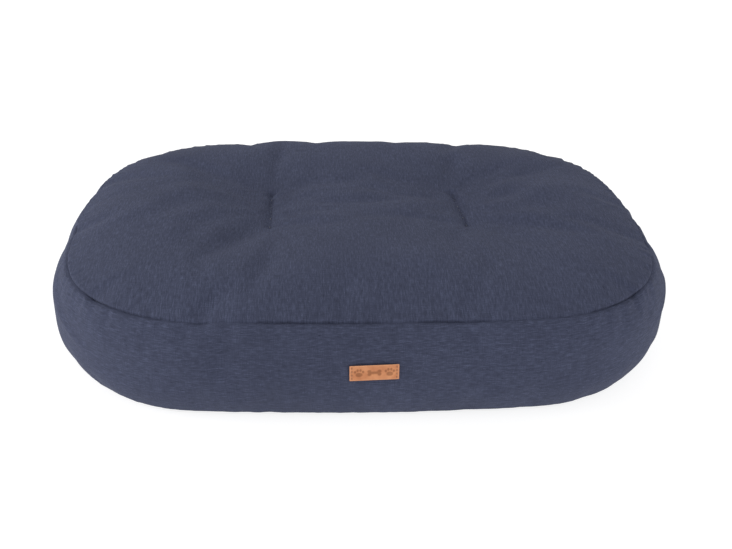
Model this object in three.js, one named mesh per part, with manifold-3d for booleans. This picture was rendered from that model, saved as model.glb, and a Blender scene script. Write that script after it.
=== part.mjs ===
// Oval floor cushion for a pet: a sewn cover with a lining and loose fibre filling, quilted
// through at two short lines, with a zip for the filling along its rear and a leather label.
// Millimetres. The floor is z = 0, and the origin lies on it under the middle of the cushion.
// +X runs along the cushion, +Y points to its rear, where the zip is, and +Z points up.
import * as THREE from "three";
import { LoftGeometry } from "three/addons/geometries/LoftGeometry.js";
import { mergeVertices } from "three/addons/utils/BufferGeometryUtils.js";
import Module from "manifold-3d";

// Outline seen from above: three kinds of arc, each touching the next
const length = 700;
const width = 500;
const sideRadius = 2150;
const endRadius = 540;
const cornerRadius = 185;

// Height and section
const seamHeight = 112;
const crownRise = 20;
const crownPower = 4;
const bottomTuck = 16;
const topTuck = 12;

// Cloth
const coverCloth = 1.4;
const liningCloth = 0.8;
const seamGap = 0.3; // between two edges sewn together
const layerGap = 0.6; // between one layer and the next, above and below
const liningInset = 3.2; // from the cover's inside to the lining, at the band, past the zip

// Quilting: two short lines sewn right through
const quiltPlaces = [-108, 120];
const quiltCentre = 12;
const quiltLength = 100;
const quiltDepth = 14;
const quiltSpread = 34;
const threadWidth = 1.2;
const threadProud = 0.8;
const threadGap = 0.4;

// Zip: height above the floor, and sizes measured across or along it
const zipHeight = 58;
const zipLength = 320;
const zipMargin = 12; // from each end of the teeth to the end of the two zip panels
const zipOpening = 8.8;
const tapeWidth = 12;
const tapeThickness = 0.6;
const rowWidth = 1.9;
const rowSplit = 1.4; // between the two rows of teeth
const rowDepth = 2.2;
const rowProud = 0.8;
const toothPitch = 8;
const toothNotch = 0.7;
const stopLength = 3;
const slitHeight = 22;

// Slider and pull
const sliderLength = 12;
const sliderPlate = 1;
const sliderGap = 0.4;
const flangeWidth = 0.8;
const neckWidth = 0.7;
const neckLength = 3;
const railRadius = 0.6;
const railSpan = 5;
const postLength = 1;
const pullEyeRadius = 1.7;
const pullEyeWidth = 4.2;
const pullThickness = 1.2;
const pullWidth = 7;
const pullLength = 26;

// Labels
const labelWidth = 48.6;
const labelHeight = 16.8;
const labelThickness = 1.6;
const labelAt = [5, 65]; // along x, and above the floor
const labelCorner = 1.5;
const labelStitchInset = 2.6;
const labelThread = 0.6;
const careWidth = 30;
const careDrop = 26;
const careCloth = 0.5;
const careAt = -120; // along the rear from its middle

// Fineness
const stationCount = 64;
const topShares = [0.05, 0.3, 0.5, 0.7, 0.88]; // rings of the top face, as shares of its size

const wasm = await Module();
wasm.setup();

const palette = {
  cover: { color: 0x454958, roughness: 0.95, metalness: 0 },
  base: { color: 0x24262c, roughness: 0.95, metalness: 0 },
  lining: { color: 0xd8d6d0, roughness: 0.95, metalness: 0 },
  fibre: { color: 0xf2f1ec, roughness: 1, metalness: 0 },
  thread: { color: 0x2f3342, roughness: 0.8, metalness: 0 },
  tape: { color: 0x2b2e3a, roughness: 0.9, metalness: 0 },
  teeth: { color: 0x343847, roughness: 0.5, metalness: 0 },
  metal: { color: 0x8a8c90, roughness: 0.35, metalness: 1 },
  leather: { color: 0xbc7b51, roughness: 0.6, metalness: 0 },
  paper: { color: 0xe8e6e0, roughness: 0.9, metalness: 0 },
};
const materials = {};
for (const [name, look] of Object.entries(palette)) {
  materials[name] = new THREE.MeshStandardMaterial(look);
}

const cushion = new THREE.Group();

// A closed geometry as a solid that can be joined and cut
function solidOf(geometry) {
  const bare = new THREE.BufferGeometry();
  bare.setAttribute("position", geometry.attributes.position);
  bare.setIndex(geometry.index);
  const merged = mergeVertices(bare, 1e-4);
  return new wasm.Manifold(
    new wasm.Mesh({
      numProp: 3,
      vertProperties: merged.attributes.position.array,
      triVerts: new Uint32Array(merged.index.array),
    }),
  );
}

function geometryOf(solid) {
  const mesh = solid.getMesh();
  const geometry = new THREE.BufferGeometry();
  geometry.setAttribute("position", new THREE.BufferAttribute(mesh.vertProperties, 3));
  geometry.setIndex(new THREE.BufferAttribute(mesh.triVerts, 1));
  geometry.computeVertexNormals();
  return geometry;
}

function add(name, geometry, material, group = cushion) {
  const mesh = new THREE.Mesh(geometry, materials[material]);
  mesh.name = name;
  group.add(mesh);
  return mesh;
}

function box(sizeX, sizeY, sizeZ, x, y, z) {
  return new THREE.BoxGeometry(sizeX, sizeY, sizeZ).translate(x, y, z);
}

// ---- Outline ----

const sideCentre = width / 2 - sideRadius; // on the y axis, for the rear side
const endCentre = length / 2 - endRadius; // on the x axis, for the right end
const toCorner = sideRadius - cornerRadius;
const endToCorner = endRadius - cornerRadius;
const centresApart = Math.hypot(endCentre, sideCentre);
const sideAngle =
  Math.atan2(-sideCentre, endCentre) -
  Math.acos(
    (toCorner ** 2 + centresApart ** 2 - endToCorner ** 2) / (2 * toCorner * centresApart),
  );
const cornerX = toCorner * Math.cos(sideAngle);
const cornerY = sideCentre + toCorner * Math.sin(sideAngle);
const endAngle = Math.atan2(cornerY, cornerX - endCentre);

// The arcs run clockwise from the middle of the rear, as seen from above
const arcs = [
  [0, sideCentre, sideRadius, Math.PI / 2, sideAngle],
  [cornerX, cornerY, cornerRadius, sideAngle, endAngle],
  [endCentre, 0, endRadius, endAngle, -endAngle],
  [cornerX, -cornerY, cornerRadius, -endAngle, -sideAngle],
  [0, -sideCentre, sideRadius, -sideAngle, sideAngle - Math.PI],
  [-cornerX, -cornerY, cornerRadius, sideAngle - Math.PI, endAngle - Math.PI],
  [-endCentre, 0, endRadius, endAngle - Math.PI, -endAngle - Math.PI],
  [-cornerX, cornerY, cornerRadius, -endAngle - Math.PI, -sideAngle - Math.PI],
  [0, sideCentre, sideRadius, -sideAngle - Math.PI, -1.5 * Math.PI],
].map(([x, y, radius, from, to]) => ({ x, y, radius, from, long: radius * (from - to) }));
const perimeter = arcs.reduce((sum, arc) => sum + arc.long, 0);

// A point beside the outline: `along` it from the rear's middle, `offset` outwards, at height z
function rim(along, offset, z) {
  let rest = ((along % perimeter) + perimeter) % perimeter;
  let arc = arcs[0];
  for (arc of arcs) {
    if (rest <= arc.long) break;
    rest -= arc.long;
  }
  const angle = arc.from - rest / arc.radius;
  const reach = arc.radius + offset;
  return new THREE.Vector3(arc.x + reach * Math.cos(angle), arc.y + reach * Math.sin(angle), z);
}

// Places along the outline: both ends, and the shared stations between them
function stations(from, to, step = perimeter / stationCount) {
  const places = [from];
  for (let k = Math.ceil(from / step); k * step < to; k += 1) {
    if (k * step > from + 1 && k * step < to - 1) places.push(k * step);
  }
  places.push(to);
  return places;
}

const allRound = stations(0, perimeter).slice(0, -1);

// ---- Section ----

// The band's outer face as pairs: share of the seam's height, and offset from the outline
const bandCurve = [
  [0, -bottomTuck],
  [0.12, -0.35 * bottomTuck],
  [0.35, 0],
  [0.68, 0],
  [0.88, -0.4 * topTuck],
  [1, -topTuck],
].map(([share, offset]) => [share * seamHeight, offset]);

function bandOffset(z) {
  const upper = bandCurve.findIndex(([height]) => height >= z);
  if (upper <= 0) return upper < 0 ? -topTuck : -bottomTuck;
  const [z0, offset0] = bandCurve[upper - 1];
  const [z1, offset1] = bandCurve[upper];
  return offset0 + ((z - z0) / (z1 - z0)) * (offset1 - offset0);
}

// The band's face between two heights, `depth` inside its outer face, from low to high
function bandFace(low, high, depth) {
  const middle = bandCurve.map(([z]) => z).filter((z) => z > low + 1 && z < high - 1);
  return [low, ...middle, high].map((z) => [bandOffset(z) - depth, z]);
}

// A strip of cloth along the band between two heights
function strip(from, to, low, high, depth, thickness) {
  const outer = bandFace(low, high, depth);
  const inner = bandFace(low, high, depth + thickness).reverse();
  const ringAt = (along) => [...outer, ...inner].map(([offset, z]) => rim(along, offset, z));
  const whole = to - from >= perimeter;
  const sections = stations(from, to).map(ringAt);
  return new LoftGeometry(sections, { capStart: !whole, capEnd: !whole });
}

function segmentDistance(x, y, atX) {
  const past = Math.max(Math.abs(y - quiltCentre) - quiltLength / 2, 0);
  return Math.hypot(x - atX, past);
}

// The cover's top face: a crown that falls to the seam, pulled down along the quilting
function topHeight(x, y, share) {
  let z = seamHeight + coverCloth + crownRise * (1 - share ** crownPower);
  for (const atX of quiltPlaces) {
    z -= quiltDepth * Math.exp(-((segmentDistance(x, y, atX) / quiltSpread) ** 2));
  }
  return z;
}

// A ring of the top face, `under` below it; the outermost ring lies `inset` inside the seam
function topRing(share, under, inset = 0) {
  return allRound.map((along) => {
    const point = rim(along, -topTuck - inset, 0);
    if (share < 1) point.copy(rim(along, -topTuck, 0)).multiplyScalar(share);
    point.z = topHeight(point.x, point.y, share) - under;
    return point;
  });
}

// A solid between the top face, lowered by `under`, and a flat floor
function dome(under, inset, floor) {
  const rings = topShares.map((share) => topRing(share, under));
  const edge = topRing(1, under, inset);
  const foot = edge.map((point) => point.clone().setZ(floor));
  return solidOf(new LoftGeometry([...rings, edge, foot], { capStart: true, capEnd: true }));
}

// A sheet that follows the top face: one dome less a lower one
function topSheet(under, thickness, inset) {
  const edgeFloor = seamHeight + coverCloth - under - thickness;
  const hollow = dome(under + thickness, inset, edgeFloor - 1);
  return geometryOf(dome(under, inset, edgeFloor).subtract(hollow));
}

function flatSheet(offset, low, high) {
  const ringAt = (z) => allRound.map((along) => rim(along, offset, z));
  return new LoftGeometry([ringAt(high), ringAt(low)], { capStart: true, capEnd: true });
}

// Slots that let the quilting thread through
const slotSolids = quiltPlaces.map((atX) =>
  solidOf(
    box(
      threadWidth + 2 * threadGap,
      quiltLength + 2 * threadGap,
      2 * (seamHeight + crownRise),
      atX,
      quiltCentre,
      0,
    ),
  ),
);

function slotted(geometry) {
  let solid = solidOf(geometry);
  for (const slot of slotSolids) solid = solid.subtract(slot);
  return geometryOf(solid);
}

// ---- Cover ----

const bandLow = coverCloth + seamGap;
const bandHigh = seamHeight - seamGap;
const openingLow = zipHeight - zipOpening / 2;
const openingHigh = zipHeight + zipOpening / 2;
const zipPanelEnd = zipLength / 2 + zipMargin; // from the rear's middle to each end
const panelEdge = zipPanelEnd + seamGap;

add("top_panel", slotted(topSheet(0, coverCloth, 0)), "cover");
add("bottom_panel", slotted(flatSheet(bandOffset(bandLow), 0, coverCloth)), "base");
add(
  "side_band",
  strip(panelEdge, perimeter - panelEdge, bandLow, bandHigh, 0, coverCloth),
  "cover",
);
add(
  "zip_panel_upper",
  strip(-zipPanelEnd, zipPanelEnd, openingHigh, bandHigh, 0, coverCloth),
  "cover",
);
add(
  "zip_panel_lower",
  strip(-zipPanelEnd, zipPanelEnd, bandLow, openingLow, 0, coverCloth),
  "cover",
);

// ---- Lining and filling ----

const liningTop = coverCloth + layerGap; // below the cover's top face
const liningBottom = coverCloth + layerGap;
const liningDepth = coverCloth + liningInset;
const liningLow = liningBottom + liningCloth + seamGap;
const liningHigh = seamHeight + coverCloth - liningTop - liningCloth - seamGap;
const fillDepth = liningDepth + liningCloth + layerGap;
const fillUnder = liningTop + liningCloth + layerGap;
const fillLow = liningBottom + liningCloth + layerGap;
const fillHigh = seamHeight + coverCloth - fillUnder;

function liningBand() {
  const whole = strip(0, perimeter, liningLow, liningHigh, liningDepth, liningCloth);
  const slit = strip(
    -zipLength / 2,
    zipLength / 2,
    zipHeight - slitHeight / 2,
    zipHeight + slitHeight / 2,
    liningDepth - layerGap,
    liningCloth + 2 * layerGap,
  );
  return geometryOf(solidOf(whole).subtract(solidOf(slit)));
}

function filling() {
  const top = topShares.map((share) => topRing(share, fillUnder));
  top.push(topRing(1, fillUnder, fillDepth));
  const side = bandFace(fillLow, fillHigh - 1, fillDepth)
    .reverse()
    .map(([offset, z]) => allRound.map((along) => rim(along, offset, z)));
  return slotted(new LoftGeometry([...top, ...side], { capStart: true, capEnd: true }));
}

add("lining_top", slotted(topSheet(liningTop, liningCloth, liningDepth)), "lining");
add("lining_band", liningBand(), "lining");
add(
  "lining_bottom",
  slotted(
    flatSheet(bandOffset(liningLow) - liningDepth, liningBottom, liningBottom + liningCloth),
  ),
  "lining",
);
add("fibre_filling", filling(), "fibre");

// ---- Quilting thread: a close row of stitches from the top face to the underside ----

function quiltThread(atX) {
  const half = quiltLength / 2;
  const outline = new THREE.Shape();
  outline.moveTo(-half, seamGap);
  outline.lineTo(half, seamGap);
  const steps = 10;
  for (let k = steps; k >= 0; k -= 1) {
    const y = quiltCentre + (k / steps - 0.5) * quiltLength;
    const share = Math.hypot(atX / (length / 2), y / (width / 2));
    outline.lineTo(y - quiltCentre, topHeight(atX, y, share) + threadProud);
  }
  return new THREE.ExtrudeGeometry(outline, { depth: threadWidth, bevelEnabled: false })
    .rotateX(Math.PI / 2)
    .rotateZ(Math.PI / 2)
    .translate(atX - threadWidth / 2, quiltCentre, 0);
}

add("quilt_thread_left", quiltThread(quiltPlaces[0]), "thread");
add("quilt_thread_right", quiltThread(quiltPlaces[1]), "thread");

// ---- Zip ----

const tapeDepth = coverCloth + seamGap;
const tapeEnd = zipPanelEnd - 1;

// A strip along the zip on one side of its middle, from one height above it to another
function zipStrip(side, from, to, near, far, depth, thickness) {
  const [low, high] = [zipHeight + side * near, zipHeight + side * far].sort((a, b) => a - b);
  return strip(from, to, low, high, depth, thickness);
}

// A row of teeth: its inner edge steps towards and away from the zip's middle
function teethRow(side) {
  const half = zipLength / 2;
  const back = tapeDepth - seamGap;
  const far = rowSplit / 2 + rowWidth;
  const sections = [];
  for (let k = 0; k <= (2 * half) / toothPitch; k += 1) {
    for (const [shift, near] of [
      [-0.3, rowSplit / 2 + toothNotch],
      [-0.2, rowSplit / 2],
      [0.2, rowSplit / 2],
      [0.3, rowSplit / 2 + toothNotch],
    ]) {
      const along = -half + (k + shift) * toothPitch;
      const corners = [
        [rowProud, near],
        [rowProud, far],
        [-back, far],
        [-back, near],
      ];
      const ring = corners.map(([offset, rise]) => rim(along, offset, zipHeight + side * rise));
      sections.push(side > 0 ? ring : ring.reverse());
    }
  }
  return new LoftGeometry(sections, { capStart: true, capEnd: true });
}

for (const [name, side] of [
  ["upper", 1],
  ["lower", -1],
]) {
  const tape = zipStrip(
    side,
    -tapeEnd,
    tapeEnd,
    rowSplit / 2,
    rowSplit / 2 + tapeWidth,
    tapeDepth,
    tapeThickness,
  );
  add(`zip_tape_${name}`, tape, "tape");
  add(`zip_teeth_${name}`, teethRow(side), "teeth");
}

// Small metal stops past the ends of the rows; at the closed end one stop bridges both rows
const stopStart = zipLength / 2 + 0.4 * toothPitch + seamGap;
const stopNear = rowSplit / 2;
const stopFar = stopNear + rowWidth + 0.4;
const stopHeight = coverCloth + rowProud;

function stop(from, low, high) {
  return strip(from, from + stopLength, low, high, -rowProud, stopHeight);
}

for (const [name, from, low, high] of [
  ["zip_bottom_stop", -stopStart - stopLength, -stopFar, stopFar],
  ["zip_top_stop_upper", stopStart, stopNear, stopFar],
  ["zip_top_stop_lower", stopStart, -stopFar, -stopNear],
]) {
  add(name, stop(from, zipHeight + low, zipHeight + high), "metal");
}

// Cloth tabs close the slit past the stops
const tabFrom = stopStart + stopLength + seamGap;
for (const [name, from, to] of [
  ["zip_end_tab_right", -zipPanelEnd, -tabFrom],
  ["zip_end_tab_left", tabFrom, zipPanelEnd],
]) {
  const tab = strip(from, to, openingLow + seamGap, openingHigh - seamGap, 0, coverCloth);
  add(name, tab, "cover");
}

// ---- Slider and pull, built at their own origin: x along the zip, y outwards, z up ----

const sliderAt = zipLength / 2 - sliderLength / 2 - 1;
const zipAssembly = new THREE.Group();
const sliderPlace = rim(sliderAt, 0, zipHeight);
zipAssembly.position.copy(sliderPlace);
zipAssembly.rotation.z = -sliderAt / sideRadius;
cushion.add(zipAssembly);

const rowFar = rowSplit / 2 + rowWidth;
const plateHalf = rowFar + sliderGap + flangeWidth;
const frontPlateY = rowProud + sliderGap; // its inner face
const backPlateY = -(tapeDepth + tapeThickness + sliderGap);
const frontFace = frontPlateY + sliderPlate;
const railY = frontFace + sliderGap + pullEyeRadius;

// A slider plate: wide where the rows part, narrow where they are closed
function plate(low, thickness) {
  const shape = new THREE.Shape();
  const half = sliderLength / 2;
  shape.moveTo(half, -plateHalf * 0.8);
  shape.quadraticCurveTo(half, 0, half, plateHalf * 0.8);
  shape.lineTo(half - 2, plateHalf);
  shape.lineTo(-half + 2, plateHalf);
  shape.lineTo(-half, plateHalf * 0.7);
  shape.lineTo(-half, -plateHalf * 0.7);
  shape.lineTo(-half + 2, -plateHalf);
  shape.lineTo(half - 2, -plateHalf);
  shape.closePath();
  return new THREE.ExtrudeGeometry(shape, { depth: thickness, bevelEnabled: false })
    .rotateX(Math.PI / 2)
    .translate(0, low + thickness, 0);
}

function slider() {
  const flangeDepth = frontPlateY + coverCloth - sliderGap + seamGap;
  const parts = [
    plate(frontPlateY, sliderPlate),
    plate(backPlateY - sliderPlate, sliderPlate),
    box(
      neckLength,
      frontPlateY - backPlateY + sliderPlate,
      neckWidth,
      -sliderLength / 2 + neckLength / 2 + 1,
      (frontPlateY + backPlateY) / 2,
      0,
    ),
  ];
  for (const side of [-1, 1]) {
    const flangeZ = side * (plateHalf - flangeWidth / 2);
    parts.push(
      box(
        sliderLength - 4,
        flangeDepth + sliderPlate / 2,
        flangeWidth,
        0,
        frontPlateY - flangeDepth / 2 + sliderPlate / 4,
        flangeZ,
      ),
    );
    const postX = side * (railSpan / 2 + postLength / 2);
    const postHeight = railY - frontPlateY + railRadius;
    parts.push(
      box(postLength, postHeight, 2 * railRadius, postX, frontPlateY + postHeight / 2, 0),
    );
  }
  parts.push(
    new THREE.CylinderGeometry(railRadius, railRadius, railSpan + postLength, 12)
      .rotateZ(Math.PI / 2)
      .translate(0, railY, 0),
  );
  return geometryOf(parts.map(solidOf).reduce((whole, part) => whole.add(part)));
}

// The pull: a rolled eye round the slider's rail, and a flat tongue that hangs from it
function pull() {
  const hole = railRadius + sliderGap;
  const half = pullEyeWidth / 2;
  const eye = new THREE.LatheGeometry(
    [
      new THREE.Vector2(hole, -half),
      new THREE.Vector2(pullEyeRadius, -half),
      new THREE.Vector2(pullEyeRadius, half),
      new THREE.Vector2(hole, half),
      new THREE.Vector2(hole, -half),
    ],
    20,
  ).rotateZ(Math.PI / 2);
  const tongue = new THREE.Shape();
  const neck = -(hole + pullEyeRadius) / 2;
  const shoulder = -plateHalf - 2;
  tongue.moveTo(-half, neck);
  tongue.lineTo(-half, shoulder + 2);
  tongue.lineTo(-pullWidth / 2, shoulder);
  tongue.lineTo(-pullWidth / 2, -pullLength + pullWidth / 2);
  tongue.absarc(0, -pullLength + pullWidth / 2, pullWidth / 2, Math.PI, 2 * Math.PI);
  tongue.lineTo(pullWidth / 2, shoulder);
  tongue.lineTo(half, shoulder + 2);
  tongue.lineTo(half, neck);
  tongue.closePath();
  const flat = new THREE.ExtrudeGeometry(tongue, {
    depth: pullThickness,
    bevelEnabled: false,
    curveSegments: 8,
  })
    .rotateX(Math.PI / 2)
    .translate(0, pullThickness / 2, 0);
  return geometryOf(solidOf(eye).add(solidOf(flat))).translate(0, railY, 0);
}

add("zip_slider", slider(), "metal", zipAssembly);
add("zip_pull", pull(), "metal", zipAssembly);

// ---- Labels ----

const labelBack = width / 2 + seamGap;

function roundedPatch(wide, high, corner, thickness) {
  const shape = new THREE.Shape();
  const [x, y] = [wide / 2, high / 2];
  shape.moveTo(-x + corner, -y);
  shape.lineTo(x - corner, -y);
  shape.quadraticCurveTo(x, -y, x, -y + corner);
  shape.lineTo(x, y - corner);
  shape.quadraticCurveTo(x, y, x - corner, y);
  shape.lineTo(-x + corner, y);
  shape.quadraticCurveTo(-x, y, -x, y - corner);
  shape.lineTo(-x, -y + corner);
  shape.quadraticCurveTo(-x, -y, -x + corner, -y);
  return new THREE.ExtrudeGeometry(shape, {
    depth: thickness,
    bevelEnabled: false,
    curveSegments: 4,
  });
}

const labelGroup = new THREE.Group();
labelGroup.position.set(labelAt[0], -labelBack, labelAt[1]);
labelGroup.rotation.x = Math.PI / 2;
cushion.add(labelGroup);
const patch = roundedPatch(labelWidth, labelHeight, labelCorner, labelThickness);
add("leather_label", patch, "leather", labelGroup);
for (const [name, side] of [
  ["label_stitches_left", -1],
  ["label_stitches_right", 1],
]) {
  const row = box(
    labelThread,
    labelHeight - 2 * labelStitchInset,
    labelThread,
    side * (labelWidth / 2 - labelStitchInset),
    0,
    labelThickness + seamGap + labelThread / 2,
  );
  add(name, row, "leather", labelGroup);
}

// A care label hangs behind the cover, by the zip, from the lower zip panel's edge
const careTop = zipHeight - zipOpening / 2 - tapeWidth;
add(
  "care_label",
  strip(
    careAt - careWidth / 2,
    careAt + careWidth / 2,
    careTop - careDrop,
    careTop,
    tapeDepth,
    careCloth,
  ),
  "paper",
);

export default cushion;
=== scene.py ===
# %% [markdown]
# # An oval floor cushion for a pet
# The real thing is sewn from a few flat panels of heavy woven cloth: an oval top, an oval
# bottom and a band between them. Loose fibre in a thin lining fills it, and two short lines of
# stitching through the whole cushion stop the fibre from wandering. A zip at the rear lets the
# filling in. The hard parts and the sizes come from the CAD frame, so nothing is fitted here.

# %% The frame
import math

import bmesh
import bpy
import numpy as np
from mathutils import Matrix, Vector


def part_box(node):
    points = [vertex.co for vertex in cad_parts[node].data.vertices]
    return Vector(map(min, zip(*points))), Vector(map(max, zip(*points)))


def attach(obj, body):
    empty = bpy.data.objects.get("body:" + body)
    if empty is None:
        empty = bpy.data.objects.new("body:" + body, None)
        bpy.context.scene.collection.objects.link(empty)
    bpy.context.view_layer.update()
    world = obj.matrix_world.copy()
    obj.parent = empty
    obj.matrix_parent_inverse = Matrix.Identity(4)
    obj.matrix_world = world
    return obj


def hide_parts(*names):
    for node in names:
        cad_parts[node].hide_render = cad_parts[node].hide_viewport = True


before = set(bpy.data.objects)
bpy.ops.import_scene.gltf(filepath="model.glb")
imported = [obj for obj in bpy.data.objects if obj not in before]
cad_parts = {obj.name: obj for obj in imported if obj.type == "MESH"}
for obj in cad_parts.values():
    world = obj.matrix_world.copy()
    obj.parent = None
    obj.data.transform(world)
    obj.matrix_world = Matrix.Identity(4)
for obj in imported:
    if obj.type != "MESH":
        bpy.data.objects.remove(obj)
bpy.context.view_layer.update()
MM = 0.001
band_low, band_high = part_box("side_band")
HALF_LENGTH, HALF_WIDTH = band_high.x, -band_low.y
SEAM_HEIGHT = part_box("top_panel")[0].z
ZIP_HEIGHT = (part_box("zip_teeth_upper")[0].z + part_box("zip_teeth_lower")[1].z) / 2
print(f"cushion {2 * HALF_LENGTH:.3f} x {2 * HALF_WIDTH:.3f} m, seam at {SEAM_HEIGHT:.3f} m")

# %% [markdown]
# ## The camera
# The camera stands a little to the left of the middle, about a metre away, and looks down at
# a shallow angle with a short telephoto lens. It comes first, because every later choice of
# fold, seam and yarn is judged through it.

# %% Camera
MIDDLE = (0, 0, 0.06)  # of the cushion, which the camera turns about and the lights face


def add_camera(elevation, turn, distance, aim, roll, lens):
    """Camera on a sphere about the cushion's middle, `turn` round it, aimed at a floor point."""
    e, t = math.radians(elevation), math.radians(turn)
    back = np.array([math.sin(t) * math.cos(e), -math.cos(t) * math.cos(e), math.sin(e)])
    place = np.array(MIDDLE) + back * distance
    ahead = np.array(aim) - place
    ahead /= np.linalg.norm(ahead)
    right = np.cross(ahead, [0, 0, 1])
    right /= np.linalg.norm(right)
    up = np.cross(right, ahead)
    r = math.radians(roll)
    right, up = right * math.cos(r) + up * math.sin(r), up * math.cos(r) - right * math.sin(r)
    data = bpy.data.cameras.new("camera")
    data.lens = lens
    camera = bpy.data.objects.new("camera", data)
    matrix = np.eye(4)
    matrix[:3, 0], matrix[:3, 1], matrix[:3, 2], matrix[:3, 3] = right, up, -ahead, place
    camera.matrix_world = Matrix(matrix.tolist())
    bpy.context.scene.collection.objects.link(camera)
    bpy.context.scene.camera = camera


add_camera(28.1, -2.67, 1.1095, (0.00887, 0, 0.0319), 1.22, 44.8)

# %% [markdown]
# ## The outline
# Seen from above the cushion is an oval of three kinds of arc, each touching the next: long
# flat sides, rounder ends, and tight corners between. A point beside the outline is given by
# how far along it lies, clockwise from the middle of the rear, and how far outside it is.

# %% Outline
SIDE_RADIUS, END_RADIUS, CORNER_RADIUS = 2.150, 0.540, 0.185


def outline_arcs():
    """Centre, radius, first angle and length of each arc, clockwise from the rear's middle."""
    side_y = HALF_WIDTH - SIDE_RADIUS
    end_x = HALF_LENGTH - END_RADIUS
    a, b = SIDE_RADIUS - CORNER_RADIUS, END_RADIUS - CORNER_RADIUS
    apart = math.hypot(end_x, side_y)
    turn = math.acos((a * a + apart * apart - b * b) / (2 * a * apart))
    side = math.atan2(-side_y, end_x) - turn
    x, y = a * math.cos(side), side_y + a * math.sin(side)
    end = math.atan2(y, x - end_x)
    pi = math.pi
    rows = [
        (0, side_y, SIDE_RADIUS, pi / 2, side),
        (x, y, CORNER_RADIUS, side, end),
        (end_x, 0, END_RADIUS, end, -end),
        (x, -y, CORNER_RADIUS, -end, -side),
        (0, -side_y, SIDE_RADIUS, -side, side - pi),
        (-x, -y, CORNER_RADIUS, side - pi, end - pi),
        (-end_x, 0, END_RADIUS, end - pi, -end - pi),
        (-x, y, CORNER_RADIUS, -end - pi, -side - pi),
        (0, side_y, SIDE_RADIUS, -side - pi, -1.5 * pi),
    ]
    arcs = np.array(rows)
    return arcs[:, :4], arcs[:, 2] * (arcs[:, 3] - arcs[:, 4])


ARCS, ARC_LENGTHS = outline_arcs()
PERIMETER = ARC_LENGTHS.sum()


def outline(along, offset=0.0):
    """Points of the outline moved outwards by `offset`, and their outward normals, both in xy."""
    rest = np.mod(along, PERIMETER)
    ends = np.cumsum(ARC_LENGTHS)
    pick = np.minimum(np.searchsorted(ends, rest), len(ends) - 1)
    rest = rest - (ends - ARC_LENGTHS)[pick]
    x, y, radius, first = (ARCS[pick, k] for k in range(4))
    angle = first - rest / radius
    normal = np.stack([np.cos(angle), np.sin(angle)], -1)
    return np.stack([x, y], -1) + normal * (radius + offset)[..., None], normal


def outline_at(along, offset):
    """Points of the outline with their own offset each."""
    points, normals = outline(along)
    return points + normals * offset[..., None]


print(f"the outline is {PERIMETER:.3f} m round")

# %% [markdown]
# ## Three grids for one cover
# A wheel of points with a hub would crowd together at the middle of the top, and cloth folds
# badly there. So the top and the bottom are rectangular grids bent onto the oval: each square
# ring of the grid becomes a smaller copy of the outline. The band is a grid that runs round
# the outline, and it shares its first and last rows with the rims of the two lids.

# %% Grids
CELLS_LONG, CELLS_WIDE = 84, 60  # of a lid, along x and y
ROUND = 2 * (CELLS_LONG + CELLS_WIDE)  # cells round the rim
STEP = PERIMETER / ROUND


def lid_polar(u, v):
    """For points of a lid, from -1 to 1 both ways: share of the way out, place along the rim."""
    share = np.maximum(abs(u), abs(v))
    a, b = u / np.maximum(share, 1e-9), v / np.maximum(share, 1e-9)
    long, wide = CELLS_LONG / 2, CELLS_WIDE / 2
    rear, right, front = b > 1 - 1e-9, a > 1 - 1e-9, b < -1 + 1e-9
    steps = np.select(
        [rear, right, front],
        [a * long, long + (1 - b) * wide, 2 * wide + (2 - a) * long],
        -(long + (1 - b) * wide),
    )
    return share, steps * STEP


def lid_rim():
    """Rows and columns of the lid's rim, clockwise from the middle of the rear."""
    long, wide = CELLS_LONG, CELLS_WIDE
    columns = [*range(long // 2, long), *[long] * wide, *range(long, 0, -1), *[0] * wide]
    rows = [*[wide] * (long // 2), *range(wide, 0, -1), *[0] * long, *range(0, wide)]
    columns += range(0, long // 2)
    rows += [wide] * (long // 2)
    return np.array(rows), np.array(columns)


SHARE, ALONG = lid_polar(
    *np.meshgrid(np.linspace(-1, 1, CELLS_LONG + 1), np.linspace(-1, 1, CELLS_WIDE + 1))
)
RIM = lid_rim()
print(f"a lid has {SHARE.size} points, and its rim {len(RIM[0])}")

# %% [markdown]
# ## The sewn shape before it is stuffed
# The section of the band is upright in the middle and tucks in to both seams, more at the
# floor. The top is a low crown. This is the shape that the cloth is pinned to in a few places,
# and from which the stuffing pushes it out.

# %% The shape to start from
CROWN, CROWN_POWER = 13 * MM, 3.4
TOP_TUCK, END_TUCK, BOTTOM_TUCK = 10 * MM, 9 * MM, 15 * MM
ZIP_OPENING = 8.8 * MM
QUILT_LINES = [  # rear end and front end of each line of stitching
    ((-0.107, 0.062), (-0.105, -0.038)),
    ((0.118, 0.062), (0.124, -0.034)),
]


def band_heights():
    """Heights of the band's rows, from the top seam to the floor, with rows at the zip's edges."""
    high, low = ZIP_HEIGHT + ZIP_OPENING / 2, ZIP_HEIGHT - ZIP_OPENING / 2
    upper = np.linspace(SEAM_HEIGHT, high, 9)
    lower = np.linspace(low, 0, 9)
    return np.concatenate([upper, [ZIP_HEIGHT], lower])


def top_tuck(along):
    """How far in the top seam lies: the same all round, and more where the outline faces an end."""
    return TOP_TUCK + END_TUCK * outline(along)[1][..., 0] ** 6


def band_offset(z, along):
    """How far the band stands out: 0 in the middle, falling as a power curve to each seam."""
    s = z / SEAM_HEIGHT
    top = top_tuck(along) * np.clip((s - 0.62) / 0.38, 0, 1) ** 1.9
    bottom = BOTTOM_TUCK * np.clip((0.36 - s) / 0.36, 0, 1) ** 1.9
    return -top - bottom


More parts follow.
